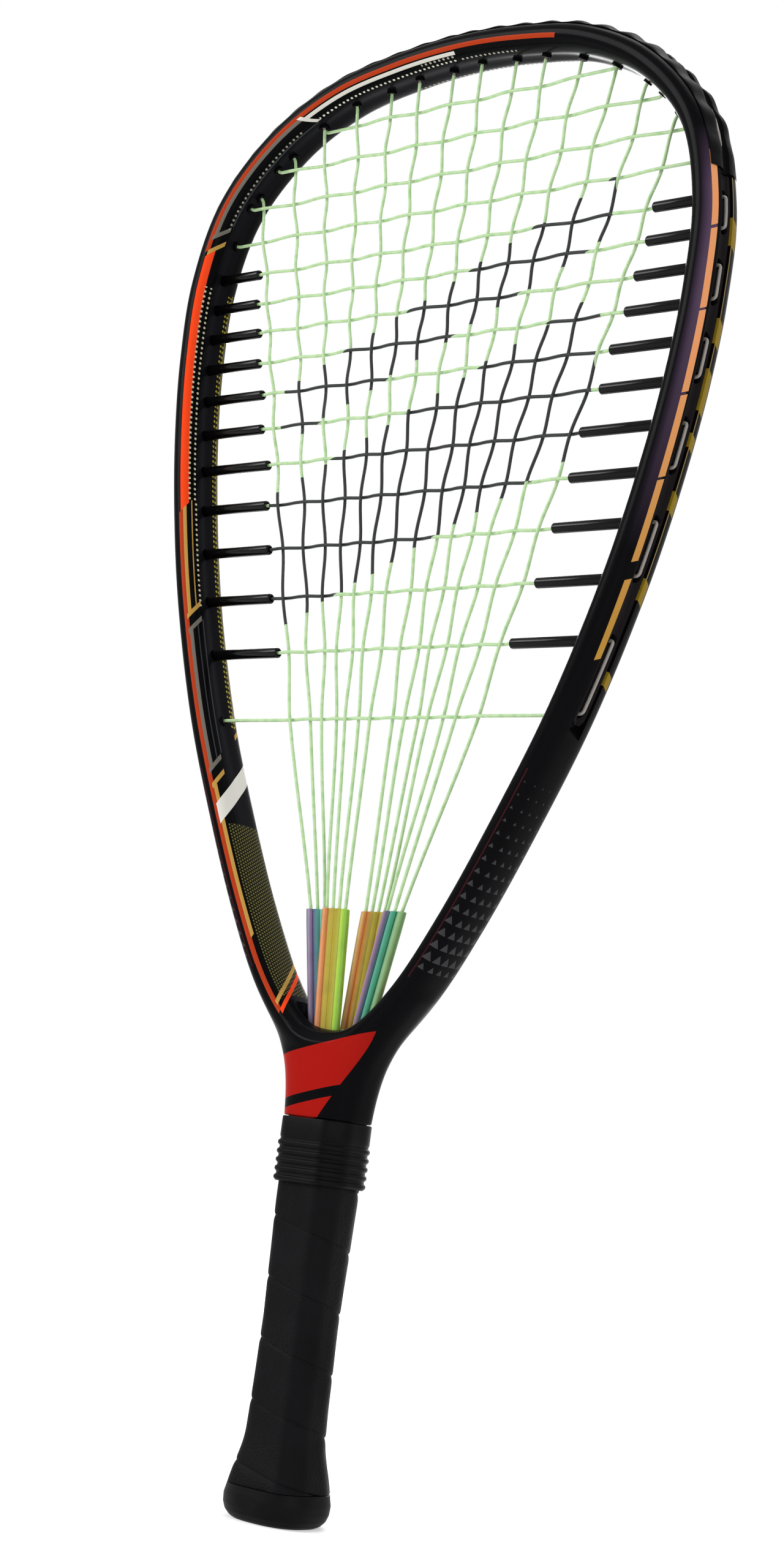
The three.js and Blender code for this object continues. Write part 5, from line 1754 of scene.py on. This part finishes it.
class RACKET_OT_stage(bpy.types.Operator):
    """Build the floor, the soft lights, the pale surroundings and the camera"""
    bl_idname = "racket.stage"
    bl_label = "Stage"

    def execute(self, context):
        scene = context.scene
        half = FLOOR_REACH
        floor = mesh_object("floor", [(-half, -half, 0), (half, -half, 0), (half, half, 0), (-half, half, 0)],
                            [[0, 1, 2, 3]])
        made = bpy.data.materials.new("white_paper_sweep")
        made.use_nodes = True
        tree = made.node_tree
        tree.nodes.clear()
        paper = add(tree, "BsdfDiffuse", linear("#F2F2F2"))
        # The lamps reach only the floor round the racket, so the paper's own white grows beyond them
        where = add(tree, "TexCoord").node.outputs["Object"]
        reach = add(tree, "VectorMath", where, operation="LENGTH").node.outputs["Value"]
        white = add(tree, "MapRange", reach, 0.25, 1.8, 0.4, 0.66)
        level = add(tree, "Math", self.seen(tree), white, operation="MULTIPLY")
        add(tree, "OutputMaterial", add(tree, "AddShader", paper, add(tree, "Emission", WHITE, level)))
        floor.data.materials.append(made)

        world = bpy.data.worlds.new("soft_room")
        scene.world = world
        world.use_nodes = True
        tree = world.node_tree
        tree.nodes.clear()
        level = add(tree, "MapRange", self.seen(tree), 0.0, 1.0, 0.45, 1.0)
        add(tree, "OutputWorld", add(tree, "Background", WHITE, level))

        for name, place, size, power in LIGHTS:
            data = bpy.data.lights.new(name, "AREA")
            data.shape = "SQUARE"
            data.size = size
            data.energy = power
            lamp = bpy.data.objects.new(name, data)
            lamp.location = place
            aim = Vector(LIGHTS_AIM) - Vector(place)
            lamp.rotation_euler = aim.to_track_quat("-Z", "Y").to_euler()
            scene.collection.objects.link(lamp)

        data = bpy.data.cameras.new("photo_camera")
        data.sensor_fit = "VERTICAL"
        data.sensor_height = SENSOR
        data.lens = PHOTO_FOCAL_LENGTH / PHOTO_HEIGHT * SENSOR
        data.clip_start, data.clip_end = 0.01, 200
        camera = bpy.data.objects.new("photo_camera", data)
        turn = camera.rotation_euler.to_matrix()
        turn.col[0], turn.col[1], turn.col[2] = (
            Vector(CAMERA_RIGHT), -Vector(CAMERA_DOWN), -Vector(CAMERA_AHEAD))
        camera.rotation_euler = turn.to_euler()
        camera.location = CAMERA_PLACE
        scene.collection.objects.link(camera)
        scene.camera = camera
        scene.view_settings.view_transform = "Standard"
        return {"FINISHED"}

    def seen(self, tree):
        """1 for rays that show the surroundings themselves: to the camera, and off or through a body."""
        rays = add(tree, "LightPath").node.outputs
        seen = add(tree, "Math", rays["Is Camera Ray"], rays["Is Glossy Ray"], operation="MAXIMUM")
        return add(tree, "Math", seen, rays["Is Transmission Ray"], operation="MAXIMUM")


OPERATORS = (
    RACKET_OT_stage, RACKET_OT_frame, RACKET_OT_guard, RACKET_OT_tubes, RACKET_OT_strings,
    RACKET_OT_sleeves, RACKET_OT_grip, RACKET_OT_collar, RACKET_OT_butt, RACKET_OT_hidden,
)


class RACKET_PT_panel(bpy.types.Panel):
    """Lists the racket's pieces, sizes and colours"""
    bl_idname = "RACKET_PT_panel"
    bl_label = "Racquetball racket"
    bl_space_type = "VIEW_3D"
    bl_region_type = "UI"
    bl_category = "Racket"

    def draw(self, context):
        for kind in OPERATORS:
            self.layout.operator(kind.bl_idname)
        for group in (context.scene.racket_sizes, context.scene.racket_colours):
            for key in group.bl_rna.properties.keys():
                if key not in ("rna_type", "name"):
                    self.layout.prop(group, key)


CLASSES = (RacketSizes, RacketColours, *OPERATORS, RACKET_PT_panel)


def register():
    for kind in CLASSES:
        bpy.utils.register_class(kind)
    bpy.types.Scene.racket_sizes = PointerProperty(type=RacketSizes)
    bpy.types.Scene.racket_colours = PointerProperty(type=RacketColours)


def unregister():
    del bpy.types.Scene.racket_sizes
    del bpy.types.Scene.racket_colours
    for kind in reversed(CLASSES):
        bpy.utils.unregister_class(kind)


def main():
    register()
    for kind in OPERATORS:
        area, word = kind.bl_idname.split(".")
        getattr(getattr(bpy.ops, area), word)()


if __name__ == "__main__":
    main()
